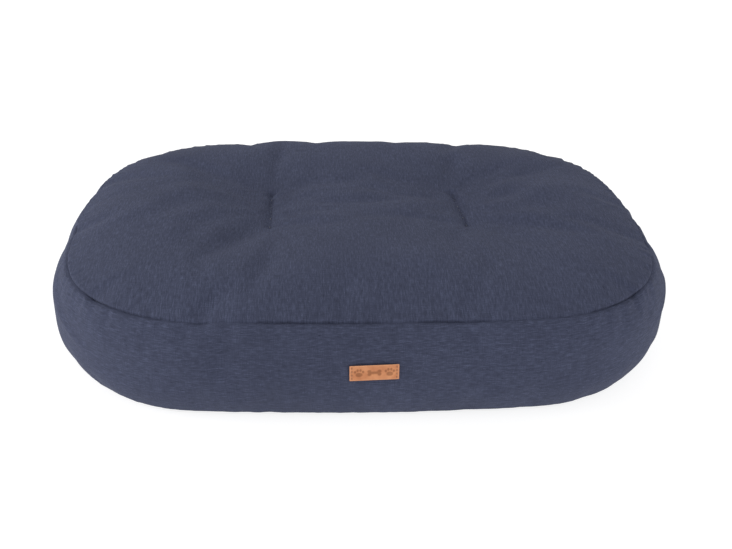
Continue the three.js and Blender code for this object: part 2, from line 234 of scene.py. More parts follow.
def starting_shape():
    """The top, band and bottom as grids of points (rows, columns, xyz)."""
    top, bottom = np.zeros((*SHARE.shape, 3)), np.zeros((*SHARE.shape, 3))
    top[..., :2] = outline_at(ALONG, -top_tuck(ALONG)) * SHARE[..., None]
    top[..., 2] = SEAM_HEIGHT + CROWN * (1 - SHARE**CROWN_POWER)
    bottom[..., :2] = outline(ALONG, -BOTTOM_TUCK)[0] * SHARE[..., None]
    heights = band_heights()
    along = np.arange(ROUND) * STEP
    band = np.zeros((len(heights), ROUND, 3))
    for row, z in enumerate(heights):
        band[row, :, :2] = outline_at(along, band_offset(z, along))
        band[row, :, 2] = z
    return top, band, bottom


def segment_distance(points, line):
    """Distance in plan from points to a line's segment, and how far along it the foot lies."""
    a, b = np.array(line[0]), np.array(line[1])
    share = np.clip(((points[..., :2] - a) @ (b - a)) / ((b - a) @ (b - a)), 0, 1)
    foot = a + share[..., None] * (b - a)
    return np.linalg.norm(points[..., :2] - foot, axis=-1), share


start_top, start_band, start_bottom = starting_shape()

# %% [markdown]
# ## Stuffing it
# The folds of a stuffed cover come from cloth that is a little fuller than the shape it is
# held to. That is what a cloth simulation is good at. The base, the zip and the two lines of
# quilting are held, the quilting is pulled down while the stuffing swells, and the cloth is
# about one percent fuller than its pattern, so it buckles into folds by itself.

# %% Cloth simulation
CLOTH_SETTINGS = {
    "quality": 6,
    "mass": 0.25,
    "air_damping": 3,
    "tension_stiffness": 18,
    "compression_stiffness": 12,
    "shear_stiffness": 6,
    "bending_stiffness": 0.4,
    "use_pressure": True,
    "pin_stiffness": 0.6,
}


def join_grids(top, band, bottom):
    """One closed mesh of the three grids: points and four-sided faces that point outwards."""
    lid = np.arange(top[..., 0].size).reshape(top.shape[:2])
    inner = band[1:-1]
    rows = np.arange(inner[..., 0].size).reshape(inner.shape[:2]) + lid.size
    under = lid + lid.size + rows.size
    ring = np.vstack([lid[RIM], rows, under[RIM]])
    after = np.roll(ring, -1, axis=1)
    sides = np.stack([ring[:-1], after[:-1], after[1:], ring[1:]], -1).reshape(-1, 4)
    tops = np.stack([lid[:-1, :-1], lid[:-1, 1:], lid[1:, 1:], lid[1:, :-1]], -1).reshape(-1, 4)
    bottoms = np.flip(tops, 1) + under[0, 0]
    points = np.vstack([top.reshape(-1, 3), inner.reshape(-1, 3), bottom.reshape(-1, 3)])
    return points, np.vstack([tops, sides, bottoms])


def mesh_object(name, points, faces, uv=None):
    """An object of points and faces, smooth if it has `uv`, one pair for each face corner."""
    mesh = bpy.data.meshes.new(name)
    mesh.from_pydata(points.tolist(), [], faces if isinstance(faces, list) else faces.tolist())
    mesh.update()
    piece = bpy.data.objects.new(name, mesh)
    bpy.context.scene.collection.objects.link(piece)
    if uv is not None:
        layer = mesh.uv_layers.new(name="cloth")
        layer.data.foreach_set("uv", uv.astype(np.float32).ravel())
        smooth(piece)
    return piece


def smooth(piece):
    piece.data.polygons.foreach_set("use_smooth", np.ones(len(piece.data.polygons), bool))


def coordinates(piece):
    """A piece's points with its modifiers and keys applied, as an array."""
    evaluated = piece.evaluated_get(bpy.context.evaluated_depsgraph_get())
    mesh = evaluated.to_mesh()
    flat = np.empty(3 * len(mesh.vertices), np.float32)
    mesh.vertices.foreach_get("co", flat)
    evaluated.to_mesh_clear()
    return flat.reshape(-1, 3).astype(float)


def stuff(points, faces, pulled, held):
    """Runs the cloth: `pulled` is where held points end up, and `held` is each point's hold."""
    cover = mesh_object("stuffing_cover", points, faces)
    cover.shape_key_add(name="sewn")
    key = cover.shape_key_add(name="pulled")
    key.data.foreach_set("co", pulled.astype(np.float32).ravel())
    for frame_number, value in ((1, 0.0), (FRAMES // 2, 1.0)):
        key.value = value
        key.keyframe_insert("value", frame=frame_number)
    group = cover.vertex_groups.new(name="held")
    for weight in np.unique(held):
        group.add(np.nonzero(held == weight)[0].tolist(), float(weight), "REPLACE")
    cloth = cover.modifiers.new("cloth", "CLOTH")
    for setting, value in CLOTH_SETTINGS.items():
        setattr(cloth.settings, setting, value)
    cloth.settings.uniform_pressure_force = PRESSURE
    cloth.settings.shrink_min = -FULLER
    cloth.settings.vertex_group_mass = group.name
    cloth.settings.effector_weights.gravity = 0
    cloth.collision_settings.use_collision = False
    cloth.point_cache.frame_start = 1
    cloth.point_cache.frame_end = FRAMES
    for frame_number in range(1, FRAMES + 1):
        bpy.context.scene.frame_set(frame_number)
    stuffed = coordinates(cover)
    action = cover.data.shape_keys.animation_data.action
    bpy.data.objects.remove(cover)
    bpy.data.actions.remove(action)
    bpy.context.scene.frame_set(1)
    return stuffed


QUILT_PULL = 11 * MM
MOST_MOVE = 16 * MM
CALM = 1  # passes of averaging over what the simulation added
FREE, RIM_HOLD = 0.02, 0.3  # how firmly the simulation holds loose cloth, and the top seam
ZIP_HELD = 0.172  # along the rim from the rear's middle
PRESSURE, FULLER, FRAMES = 3.0, 0.012, 24


def quilt_pull(points):
    """How far the quilting draws each point of the top down: all on the line, none far off."""
    pull = np.zeros(points.shape[:-1])
    for line in QUILT_LINES:
        distance, share = segment_distance(points, line)
        narrow, wide = np.exp(-((distance / 0.007) ** 2)), np.exp(-((distance / 0.042) ** 2))
        pull = np.maximum(pull, (0.35 * narrow + 0.65 * wide) * (1.15 - 0.3 * share))
    return pull * QUILT_PULL


def calm(grid, passes, wrap=False):
    """Averages each point with its neighbours, a quarter, a half, a quarter, both ways."""
    for _ in range(passes):
        for axis in (0, 1):
            edge = "wrap" if wrap and axis else "edge"
            wide = np.pad(grid, [(axis == k, axis == k) for k in range(2)] + [(0, 0)], mode=edge)
            low, high = (np.take(wide, range(k, k + grid.shape[axis]), axis) for k in (0, 2))
            grid = 0.5 * grid + 0.25 * (low + high)
    return grid


def split_grids(points):
    """The top, the band and the bottom, out of the points of one closed mesh."""
    top_size, rows = start_top[..., 0].size, start_band.shape[0] - 2
    top, inner, bottom = np.split(points, [top_size, top_size + rows * ROUND])
    return top.reshape(start_top.shape), inner.reshape(rows, ROUND, 3), bottom.reshape(start_top.shape)


def close_band(top, inner, bottom):
    """The band with the rims of both lids as its first and last rows."""
    return np.concatenate([top[RIM][None], inner, bottom[RIM][None]])


def stuffed_grids():
    """The three grids after stuffing, with no point moved further than the cap."""
    points, faces = join_grids(start_top, start_band, start_bottom)
    top_size, band_rows = start_top[..., 0].size, start_band.shape[0] - 2
    pulled = points.copy()
    down = quilt_pull(points[:top_size])
    pulled[:top_size, 2] -= down
    held = np.full(len(points), FREE)
    held[:top_size] = np.where(down > 0.72 * QUILT_PULL, 1.0, held[:top_size])
    held[top_size + band_rows * ROUND :] = 1.0
    rim = np.ravel_multi_index(RIM, SHARE.shape)
    held[rim] = RIM_HOLD
    along = np.arange(ROUND) * STEP
    beside = np.minimum(along, PERIMETER - along) < ZIP_HELD
    for row, z in enumerate(band_heights()[1:-1]):
        first = top_size + row * ROUND
        if abs(z - ZIP_HEIGHT) < ZIP_OPENING:
            held[first : first + ROUND] = np.where(beside, 1.0, FREE)
    stuffed = stuff(points, faces, pulled, held)
    move = stuffed - pulled
    top, inner, bottom = split_grids(move)
    calmed = [calm(top, CALM), calm(inner, CALM, True), bottom]
    calmed = np.concatenate([part.reshape(-1, 3) for part in calmed])
    move = np.where((held == 1.0)[:, None], move, calmed)
    far = np.linalg.norm(move, axis=1, keepdims=True)
    print(f"stuffing moved the cloth {far.mean() / MM:.1f} mm on average, {far.max() / MM:.1f} at most")
    soft = pulled + move * np.minimum(1, MOST_MOVE / np.maximum(far, 1e-9))
    top, inner, bottom = split_grids(soft)
    return top, close_band(top, inner, bottom), bottom


soft_top, soft_band, soft_bottom = stuffed_grids()

# %% [markdown]
# ## Finer points where the cloth turns sharply
# The simulation's grid is about 7 mm, which is too coarse for a seam. Catmull-Rom curves run
# through the same points and give a finer grid, with extra rows close to the rim, where the
# cloth dives into the seam. The rim of a lid and the band's first row use the same places.

# %% Refining
INNER_STEP = 0.36  # of a simulated cell
EDGE_STEPS = [0, 0.1, 0.22, 0.36, 0.54, 0.76]


def sample_places(cells):
    """Places along a lid's side, in cells: even inside, and closer together at both rims."""
    inside = np.linspace(1, cells - 1, round((cells - 2) / INNER_STEP) + 1)
    edge = np.array(EDGE_STEPS)
    return np.concatenate([edge, inside, cells - edge[::-1]])


def along_grid(grid, places, axis, wrap=False):
    """Catmull-Rom along one axis: a cubic through the four points round each place."""
    count = grid.shape[axis]
    base = np.floor(places).astype(int)
    if not wrap:
        base = np.minimum(base, count - 2)
    f = (places - base).reshape([-1 if k == axis else 1 for k in range(grid.ndim)])
    weights = [
        ((2 - f) * f - 1) * f / 2,
        ((3 * f - 5) * f * f + 2) / 2,
        ((4 - 3 * f) * f + 1) * f / 2,
        (f - 1) * f * f / 2,
    ]
    total = 0
    for shift, weight in zip((-1, 0, 1, 2), weights):
        index = base + shift
        index = index % count if wrap else np.clip(index, 0, count - 1)
        total = total + weight * np.take(grid, index, axis)
    return total


LONG_PLACES, WIDE_PLACES = sample_places(CELLS_LONG), sample_places(CELLS_WIDE)
print(f"the finer lid is {len(WIDE_PLACES)} x {len(LONG_PLACES)} points")

# %% [markdown]
# ## Seams, gathers and the stitched creases
# A seam draws both edges inwards into a narrow groove. Its stitches also gather a little of
# the fuller cloth, so small ripples run away from it and die out within a finger's width. Both
# are narrow, regular effects, so they are formulas added on the finer grid.

# %% Seam shaping
SEAM_DEPTH, SEAM_WIDTH = 4.2 * MM, 2.0 * MM
GATHER_HEIGHT, GATHER_REACH = 1.3 * MM, 10 * MM
CREASE_DEPTH, CREASE_WIDTH = 2.6 * MM, 3.2 * MM
PANEL_END = 0.1723  # along the rim from the rear's middle, where the zip's panels end
BOTTOM_DIMPLE = 2.4 * MM
END_FOLDS = [  # start and end along the rim and up the band, and height of the fold
    ((1.425, 0.100), (1.315, 0.056), 2.8 * MM),
    ((0.600, 0.098), (0.700, 0.060), 1.6 * MM),
    ((1.600, 0.090), (1.500, 0.050), 1.8 * MM),
]


def ripples(along, seed, shortest=8 * MM, longest=34 * MM, count=26):
    """A sum of sine waves that fit whole round the rim, with seeded lengths and phases."""
    rng = np.random.default_rng(seed)
    turns = np.round(PERIMETER / rng.uniform(shortest, longest, count))
    phases = rng.uniform(0, 2 * np.pi, count)
    waves = np.sin(2 * np.pi * along[..., None] / PERIMETER * turns + phases)
    return waves.sum(-1) / math.sqrt(count)


def seam_push(distance, width=SEAM_WIDTH):
    """How far cloth is drawn into a seam at a distance from it: a narrow bell."""
    return SEAM_DEPTH * np.exp(-((distance / width) ** 2))


def seam_hold(along):
    """How tightly the seam is drawn in, from 0.6 to 1, changing slowly along it."""
    return 0.8 + 0.2 * np.tanh(2.5 * ripples(along, 77, 0.06, 0.4, 12))


def gather_push(distance, along, seed):
    """Height of the gathers: ripples that start just off the seam and fade with distance."""
    fade = np.exp(-distance / GATHER_REACH) * (1 - np.exp(-((distance / SEAM_WIDTH) ** 2)))
    patchy = 0.35 + 0.65 / (1 + np.exp(-3 * ripples(along, seed + 50, 0.12, 0.6, 9)))
    return GATHER_HEIGHT * fade * patchy * ripples(along, seed)


def rim_distance(fine, share):
    """Distance from each outer point of a lid to the nearest point of its own rim."""
    rim = np.concatenate([fine[0], fine[-1], fine[:, 0], fine[:, -1]])
    outer = share > 0.88
    distance = np.ones(share.shape)
    apart = ((fine[outer][:, None] - rim) ** 2).sum(-1)
    distance[outer] = np.sqrt(apart.min(1))
    return distance


def fine_lid(grid, wide_places, long_places, tuck, up, seed):
    """A finer lid with its rim drawn into the seam; `up` is 1 for the top and -1 below."""
    fine = along_grid(along_grid(grid, wide_places, 0), long_places, 1)
    u, v = np.meshgrid(2 * long_places / CELLS_LONG - 1, 2 * wide_places / CELLS_WIDE - 1)
    share, along = lid_polar(u, v)
    outward = outline(along, -tuck)[1]
    distance = rim_distance(fine, share)
    inwards = seam_push(distance) * seam_hold(along)
    gather = gather_push(distance, along, seed) * (1 if up > 0 else 0.4)
    fine[..., :2] += outward * (0.4 * gather - 0.8 * inwards)[..., None]
    fine[..., 2] += up * (0.9 * gather - 0.6 * inwards)
    return fine


def end_folds(along, height):
    """Soft slanting folds at the two ends: a bell across a line, fading towards its ends."""
    total = 0
    for (a0, z0), (a1, z1), lift in END_FOLDS:
        run = np.array([a1 - a0, z1 - z0])
        share = ((along - a0) * run[0] + (height - z0) * run[1]) / (run @ run)
        off = ((along - a0) * run[1] - (height - z0) * run[0]) / np.linalg.norm(run)
        total = total + lift * np.exp(-((off / 0.006) ** 2) - ((share - 0.5) / 0.45) ** 4)
    return total


def fine_band(rows, places):
    """A finer stretch of the band, with its top and bottom edges drawn into their seams."""
    fine = along_grid(along_grid(soft_band, rows, 0), places, 1, wrap=True)
    along = np.broadcast_to(places * STEP, fine.shape[:2])
    outward = outline(along)[1]
    height = np.interp(rows, np.arange(len(HEIGHTS)), HEIGHTS)[:, None]
    fine[..., :2] += outward * end_folds(np.mod(along, PERIMETER), height)[..., None]
    from_end = abs(abs((along + PERIMETER / 2) % PERIMETER - PERIMETER / 2) - PANEL_END)
    fine[..., :2] -= outward * (0.35 * seam_push(from_end, 1.8 * MM))[..., None]
    for distance, up, seed in ((HEIGHTS[0] - height, 1, 11), (height, -1, 23)):
        inwards = seam_push(distance) * seam_hold(along)
        gather = gather_push(distance + 0 * along, along, seed) * (1 if up > 0 else 0.3)
        fine[..., :2] += outward * (0.9 * gather - 0.8 * inwards)[..., None]
        fine[..., 2] -= up * 0.6 * inwards
    return fine


SPOKE_HEIGHT = 1.4 * MM


def spokes(grid, line):
    """Soft folds that fan out from a line of stitching: waves of the angle, a hand's width off."""
    middle = np.mean(line, axis=0)
    x, y = grid[..., 0] - middle[0], (grid[..., 1] - middle[1]) * 0.8
    angle, far = np.arctan2(y, x), np.hypot(x, y)
    bend = 2.2 * np.sin(far * 31 + 5 * middle[0]) + 9 * middle[0]
    waves = np.sin(11 * angle + bend) + 0.8 * np.sin(7 * angle - bend)
    sideways = (x * np.sign(middle[0]) > 0) * (x / np.maximum(far, 1e-9)) ** 2
    ring = np.exp(-(((far - 0.10) / 0.062) ** 2)) * (0.35 + 0.65 * sideways)
    return SPOKE_HEIGHT * waves * ring


def crease(grid):
    """Draws the top down along each line of stitching, with a small pucker at each stitch."""
    for line in QUILT_LINES:
        distance, share = segment_distance(grid, line)
        pucker = 1 + 0.25 * np.sin(share * 2 * np.pi * 14)
        grid[..., 2] += spokes(grid, line)
        grid[..., 2] -= CREASE_DEPTH * pucker * np.exp(-((distance / CREASE_WIDTH) ** 2))


HEIGHTS = band_heights()
top_grid = fine_lid(soft_top, WIDE_PLACES, LONG_PLACES, TOP_TUCK, 1, seed=5)
crease(top_grid)
coarse = [np.r_[0, 0.2, 0.5, 1:c:0.5, c - 0.2, c] for c in (CELLS_WIDE, CELLS_LONG)]
bottom_grid = fine_lid(soft_bottom, *coarse, BOTTOM_TUCK, -1, seed=31)
bottom_grid[..., 2] = np.maximum(bottom_grid[..., 2], 0)
for line in QUILT_LINES:
    off_line = segment_distance(bottom_grid, line)[0]
    bottom_grid[..., 2] += BOTTOM_DIMPLE * np.exp(-((off_line / 0.005) ** 2))
print(f"the crown stands {top_grid[..., 2].max() / MM:.0f} mm above the floor")

# %% [markdown]
# ## Cloth, leather and metal as node groups
# The same few effects come back in every finish: yarns that cross over and under, thicker slubs
# in the yarn, and slow changes of tone. Each is a group, built once. A group only hands over a
# mask or a colour, and the shader itself stays in the material, with its own fixed numbers.

# %% Node helpers
def linear(red, green, blue):
    """A colour as the eye and a screen name it, 0 to 255, turned into light, 0 to 1."""
    c = np.array([red, green, blue]) / 255
    c = np.where(c <= 0.04045, c / 12.92, ((c + 0.055) / 1.055) ** 2.4)
    return (*c.tolist(), 1.0)


def add(tree, kind, inputs=None, **settings):
    """A node with its settings. Each input is a value, or the socket that feeds it."""
    made = tree.nodes.new("ShaderNode" + kind)
    for key, value in settings.items():
        setattr(made, key, value)
    return feed(tree, made, inputs or {})


def feed(tree, node, inputs):
    """Sets a node's inputs: a value goes straight in, and a socket is linked."""
    for key, value in inputs.items():
        if isinstance(value, bpy.types.NodeSocket):
            tree.links.new(value, node.inputs[key])
        else:
            node.inputs[key].default_value = value
    return node


def math_of(tree, operation, *values):
    """The result of a Math node on one, two or three values or sockets."""
    return add(tree, "Math", dict(enumerate(values)), operation=operation).outputs[0]


def times_plus(tree, value, factor, more):
    """A value times a factor, plus some more."""
    return math_of(tree, "MULTIPLY_ADD", value, factor, more)


def cloth_place(tree):
    """Place on the cloth laid flat, in metres."""
    return add(tree, "UVMap", uv_map="cloth").outputs[0]


def object_place(tree):
    """Place in the object's own space, in metres."""
    return add(tree, "TexCoord").outputs["Object"]


def new_group(name, inputs, outputs):
    """An empty node group: inputs as name, kind and value, outputs as name and kind."""
    tree = bpy.data.node_groups.new(name, "ShaderNodeTree")
    for label, kind, value in inputs:
        socket = tree.interface.new_socket(label, in_out="INPUT", socket_type="NodeSocket" + kind)
        if value is not None:
            socket.default_value = value
    for label, kind in outputs:
        tree.interface.new_socket(label, in_out="OUTPUT", socket_type="NodeSocket" + kind)
    start, end = tree.nodes.new("NodeGroupInput"), tree.nodes.new("NodeGroupOutput")
    return tree, start.outputs, end.inputs


def use_group(tree, group, inputs):
    return add(tree, "Group", inputs, node_tree=group).outputs


def noise_of(tree, place, scale, detail, output="Fac"):
    """Soft noise at a place: its value, or its colour as three separate values."""
    inputs = {"Vector": place, "Scale": scale, "Detail": detail}
    return add(tree, "TexNoise", inputs).outputs[output]


def ramp_of(tree, value, low, high, places=(0.0, 1.0), middle=None):
    """A colour that runs from `low` to `high`, by way of `middle` if there is one."""
    ramp = add(tree, "ValToRGB", {0: value})
    for element, color, place in zip(ramp.color_ramp.elements, (low, high), places):
        element.position, element.color = place, linear(*color)
    if middle:
        ramp.color_ramp.elements.new(0.5).color = linear(*middle)
    return ramp.outputs[0]


def relief(tree, height, strength, distance, **more):
    """Raises the surface by a height, and hands the bent normal to the material's shader."""
    bump = add(tree, "Bump", {"Height": height, "Strength": strength, "Distance": distance, **more})
    feed(tree, tree.nodes["Principled BSDF"], {"Normal": bump.outputs[0]})


# %% Weave, slub and tone
def weave_group():
    """Plain weave: sine(x) times sine(y) is high where one yarn is over and low where under."""
    tree, given, result = new_group(
        "plain_weave",
        [("Place", "Vector", None), ("Across", "Float", 0.0009), ("Along", "Float", 0.0009)],
        [("Height", "Float"), ("Over", "Float")],
    )
    wobble = noise_of(tree, given["Place"], 140.0, 1.0, "Color")
    drift = add(tree, "VectorMath", {0: wobble, "Scale": 0.0006}, operation="SCALE")
    place = add(tree, "VectorMath", {0: given["Place"], 1: drift.outputs[0]}, operation="ADD")
    xyz = add(tree, "SeparateXYZ", {0: place.outputs[0]})
    x = math_of(tree, "DIVIDE", xyz.outputs[0], given["Across"])
    y = math_of(tree, "DIVIDE", xyz.outputs[1], given["Along"])
    sine_x = math_of(tree, "SINE", math_of(tree, "MULTIPLY", x, math.pi))
    sine_y = math_of(tree, "SINE", math_of(tree, "MULTIPLY", y, math.pi))
    both = math_of(tree, "MULTIPLY", sine_x, sine_y)
    tree.links.new(math_of(tree, "ABSOLUTE", both), result["Height"])
    tree.links.new(times_plus(tree, both, 0.5, 0.5), result["Over"])
    return tree


def slub_group():
    """Streaks: noise on a place that is squeezed across the yarn and stretched along it."""
    tree, given, result = new_group(
        "slub_yarn",
        [("Place", "Vector", None), ("Width", "Float", 0.0012), ("Length", "Float", 0.02)],
        [("Streak", "Float")],
    )
    across = math_of(tree, "DIVIDE", 1.0, given["Width"])
    along = math_of(tree, "DIVIDE", 1.0, given["Length"])
    ratio = add(tree, "CombineXYZ", {0: across, 1: along, 2: 1.0})
    place = add(tree, "VectorMath", {0: given["Place"], 1: ratio.outputs[0]}, operation="MULTIPLY")
    tree.links.new(noise_of(tree, place.outputs[0], 1.0, 3.0), result["Streak"])
    return tree


def tone_group():
    """Slow changes of tone over the whole object, from soft noise on its own coordinates."""
    tree, given, result = new_group("slow_tone", [("Scale", "Float", 7.0)], [("Tone", "Float")])
    place = object_place(tree)
    tree.links.new(noise_of(tree, place, given["Scale"], 4.0), result["Tone"])
    return tree


WEAVE, SLUB, TONE = weave_group(), slub_group(), tone_group()
print("node groups:", ", ".join(g.name for g in (WEAVE, SLUB, TONE)))

# %% [markdown]
# ## The cover's cloth
# It is a heavy slub weave of mixed navy yarns: some fibres nearly black, some grey-blue. Up
# close there are yarns a millimetre wide, further off only fine streaks. The yarns that run
# with the slubs get three streak patterns of different length, and the mixed fibres a speckle.

# %% Woven cloths
def shader_of(material):
    return material.node_tree.nodes["Principled BSDF"]


def new_material(name, color, roughness, metallic=0.0):
    material = bpy.data.materials.new(name)
    material.use_nodes = True
    material.diffuse_color = color
    finish = {"Base Color": color, "Roughness": roughness, "Metallic": metallic}
    feed(material.node_tree, shader_of(material), finish)
    return material


def woven_cloth(name, dark, middle, light, pitch=0.9 * MM, streaks=1.0, sheen=0.05, bump=0.5):
    """Cloth on the UV map `cloth`: mixed yarns, slub streaks, a plain weave with relief, and painted
    shade that darkens the colour between the yarns.
    """
    material = new_material(name, linear(*middle), 0.92)
    tree, shader = material.node_tree, shader_of(material)
    place = cloth_place(tree)
    fine = use_group(tree, SLUB, {"Place": place, "Width": 1.2 * MM, "Length": 8 * MM})[0]
    long = use_group(tree, SLUB, {"Place": place, "Width": 2.4 * MM, "Length": 30 * MM})[0]
    cross = add(tree, "Mapping", {"Vector": place, "Rotation": (0, 0, math.pi / 2)}).outputs[0]
    weft = use_group(tree, SLUB, {"Place": cross, "Width": 1.1 * MM, "Length": 12 * MM})[0]
    speckle = noise_of(tree, place, 900.0, 2.0)
    weave = use_group(tree, WEAVE, {"Place": place, "Across": pitch, "Along": pitch * 1.15})
    tone = use_group(tree, TONE, {"Scale": 8.0})[0]
    warp = times_plus(tree, fine, 0.7, math_of(tree, "MULTIPLY", long, 0.3))
    yarn = add(tree, "Mix", {0: weave["Over"], 2: warp, 3: weft}, data_type="FLOAT").outputs[0]
    mixed = times_plus(tree, speckle, 0.35, math_of(tree, "MULTIPLY", yarn, 0.65))
    mixed = times_plus(tree, warp, 0.45, math_of(tree, "MULTIPLY", mixed, 0.55))
    mixed = times_plus(tree, math_of(tree, "SUBTRACT", tone, 0.5), 0.12, mixed)
    spread = times_plus(tree, math_of(tree, "SUBTRACT", mixed, 0.5), 2.3 * streaks, 0.5)
    knot = use_group(tree, SLUB, {"Place": place, "Width": 1.6 * MM, "Length": 5 * MM})[0]
    pale = add(tree, "MapRange", {0: knot, 1: 0.66, 2: 0.76, 3: 0.0, 4: 0.38}).outputs[0]
    deep = add(tree, "MapRange", {0: knot, 1: 0.34, 2: 0.25, 3: 0.0, 4: -0.5}).outputs[0]
    spread = math_of(tree, "ADD", spread, math_of(tree, "ADD", pale, deep))
    dyed = ramp_of(tree, spread, dark, light, middle=middle)
    # Painted shade: the colour is darkened to 0.78 where the weave lies low between its yarns.
    groove = times_plus(tree, weave["Height"], 0.22, 0.78)
    color = add(tree, "Mix", {0: 1.0, 6: dyed, 7: groove}, data_type="RGBA", blend_type="MULTIPLY")
    finish = {
        "Base Color": color.outputs[2],
        "Roughness": times_plus(tree, mixed, 0.16, 0.82),
        "Sheen Weight": sheen,
        "Sheen Roughness": 0.45,
        "Sheen Tint": linear(150, 158, 190),
        "Specular IOR Level": 0.25,
    }
    feed(tree, shader, finish)
    relief(tree, times_plus(tree, warp, 0.6, weave["Height"]), bump, 0.35 * MM)
    return material


cover_cloth = woven_cloth("navy_slub_weave", (44, 48, 66), (65, 70, 92), (90, 97, 123))
base_cloth = woven_cloth(
    "dark_base_weave", (26, 27, 33), (40, 41, 48), (58, 60, 68), 0.7 * MM, 0.6, sheen=0.04
)
lining_cloth = woven_cloth(
    "pale_lining_weave", (176, 174, 168), (206, 204, 198), (224, 222, 216), 0.5 * MM, 0.5, sheen=0.1
)
tape_cloth = woven_cloth("navy_zip_tape", (34, 38, 54), (50, 54, 74), (66, 70, 92), 0.6 * MM, 0.7)
care_cloth = woven_cloth(
    "white_satin_tape", (205, 204, 200), (226, 225, 221), (240, 239, 236), 0.35 * MM, 0.4, sheen=0.3
)

# %% [markdown]
# ## Dots that grip the floor
# The cloth underneath carries small raised dots of rubber, printed in staggered rows. A dot is
# the distance to the middle of its cell, and every other row of cells is moved by half a cell.

# %% Grip dots
DOT_CELL, DOT_RADIUS = 11 * MM, 1.7 * MM


def add_dots(material):
    """Adds printed dots to a cloth: darker, smoother, and raised."""
    tree, shader = material.node_tree, shader_of(material)
    xyz = add(tree, "SeparateXYZ", {0: cloth_place(tree)})
    y = math_of(tree, "DIVIDE", xyz.outputs[1], DOT_CELL)
    odd = math_of(tree, "PINGPONG", math_of(tree, "FLOOR", y), 1.0)
    x = times_plus(tree, odd, 0.5, math_of(tree, "DIVIDE", xyz.outputs[0], DOT_CELL))
    off = [math_of(tree, "SUBTRACT", math_of(tree, "FRACT", k), 0.5) for k in (x, y)]
    flat = add(tree, "CombineXYZ", {0: off[0], 1: off[1], 2: 0.0}).outputs[0]
    far = add(tree, "VectorMath", {0: flat}, operation="LENGTH").outputs["Value"]
    edge = DOT_RADIUS / DOT_CELL
    dot = add(tree, "MapRange", {0: far, 1: edge * 1.15, 2: edge * 0.8, 3: 0.0, 4: 1.0}).outputs[0]
    for name, value, kind in (("Base Color", linear(24, 24, 27), "RGBA"), ("Roughness", 0.5, "FLOAT")):
        before = shader.inputs[name].links[0].from_socket
        first, second = (6, 7) if kind == "RGBA" else (2, 3)
        mix = add(tree, "Mix", {0: dot, first: before, second: value}, data_type=kind)
        tree.links.new(mix.outputs[2 if kind == "RGBA" else 0], shader.inputs[name])
    relief(tree, dot, 0.9, 0.6 * MM, Normal=shader.inputs["Normal"].links[0].from_socket)


add_dots(base_cloth)

# %% [markdown]
# ## From grids to panels
# Each panel of the cover is its own sheet of cloth. Its UV map is the cloth itself laid flat,
# in metres: U runs across the slubs and V with them. So the weave keeps its real size, with its
# streaks from front to back on the top and lengthwise on the band.

# %% Panels
COVER_CLOTH, LINING_CLOTH, TAPE_CLOTH, TAB_CLOTH, CARE_CLOTH = (
    k * MM for k in (0.8, 0.4, 0.5, 0.7, 0.25)
)  # how thick each cloth is
TOP_CUT, BASE_CUT, TAB_CUT = (0.52, 0.72), (0.5, 0.7), (0.012, 0.0125)  # flat sizes, in metres
PANEL_STEP = 2.6 * MM  # between the columns of the band's panels


def sheet_mesh(name, grid, uv, closed=False, flip=False):
    """A grid of points as four-sided faces, with its cloth laid flat as the UV map."""
    places = np.arange(grid[..., 0].size).reshape(grid.shape[:2])
    index = places
    if closed:
        grid = grid[:, :-1]
        index = np.arange(grid[..., 0].size).reshape(grid.shape[:2])
        index = np.hstack([index, index[:, :1]])
    corners = [np.s_[:-1, :-1], np.s_[:-1, 1:], np.s_[1:, 1:], np.s_[1:, :-1]]
    if flip:
        corners = corners[::-1]
    faces = np.stack([index[c] for c in corners], -1).reshape(-1, 4)
    on_cloth = np.stack([places[c] for c in corners], -1).reshape(-1)
    return mesh_object(name, grid.reshape(-1, 3), faces, uv.reshape(-1, 2)[on_cloth])


def thicken(piece, thickness):
    """Gives a sheet its thickness, behind the face that is seen."""
    solid = piece.modifiers.new("thickness", "SOLIDIFY")
    solid.thickness = thickness
    solid.offset = -1
    return piece


def fit(piece, body, slot, material, *replaced):
    """Attaches a piece to its body, hides the CAD parts it replaces, and gives it its material."""
    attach(piece, body)
    if replaced:
        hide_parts(*replaced)
    piece.data.materials.clear()
    piece.data.materials.append(material)
    return piece


def grid_uv(grid, along=None):
    """Cloth laid flat: V is the place along the band and U the way down it."""
    down = np.linalg.norm(np.diff(grid, axis=0), axis=-1).mean(1)
    u = np.concatenate([[0], np.cumsum(down)])[:, None] + np.zeros(grid.shape[:2])
    return np.stack([u, np.broadcast_to(along, u.shape)], -1)


def cloth_area(grid):
    """Area of a grid of points, from the crossed diagonals of its cells."""
    one, two = grid[1:, 1:] - grid[:-1, :-1], grid[1:, :-1] - grid[:-1, 1:]
    return np.linalg.norm(np.cross(one, two), axis=-1).sum() / 2


# %% [markdown]
# ## The label's place
# The leather label lies on the middle of the front. The stuffing would leave a bump under it,
# but leather is stiff and presses the cloth flat. A plane is fitted to the band there, the cloth
# within the label's edges moves onto it, and the label is built on the same plane.

# %% The label's plane
label_low, label_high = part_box("leather_label")
LABEL_X, LABEL_Z = (label_low.x + label_high.x) / 2, (label_low.z + label_high.z) / 2
LABEL_HALF, LABEL_RISE = (label_high.x - label_low.x) / 2, (label_high.z - label_low.z) / 2
LABEL_THICK = 1.6 * MM


def label_plane():
    """Depth at the label's middle, and its slopes along x and z, by least squares."""
    x, y, z = soft_band[..., 0], soft_band[..., 1], soft_band[..., 2]
    near = (y < 0) & (abs(x - LABEL_X) < LABEL_HALF) & (abs(z - LABEL_Z) < LABEL_RISE)
    terms = np.stack([np.ones(near.sum()), x[near] - LABEL_X, z[near] - LABEL_Z], -1)
    return np.linalg.lstsq(terms, y[near], rcond=None)[0]


PLANE = label_plane()


def plane_depth(x, z):
    return PLANE[0] + PLANE[1] * (x - LABEL_X) + PLANE[2] * (z - LABEL_Z)


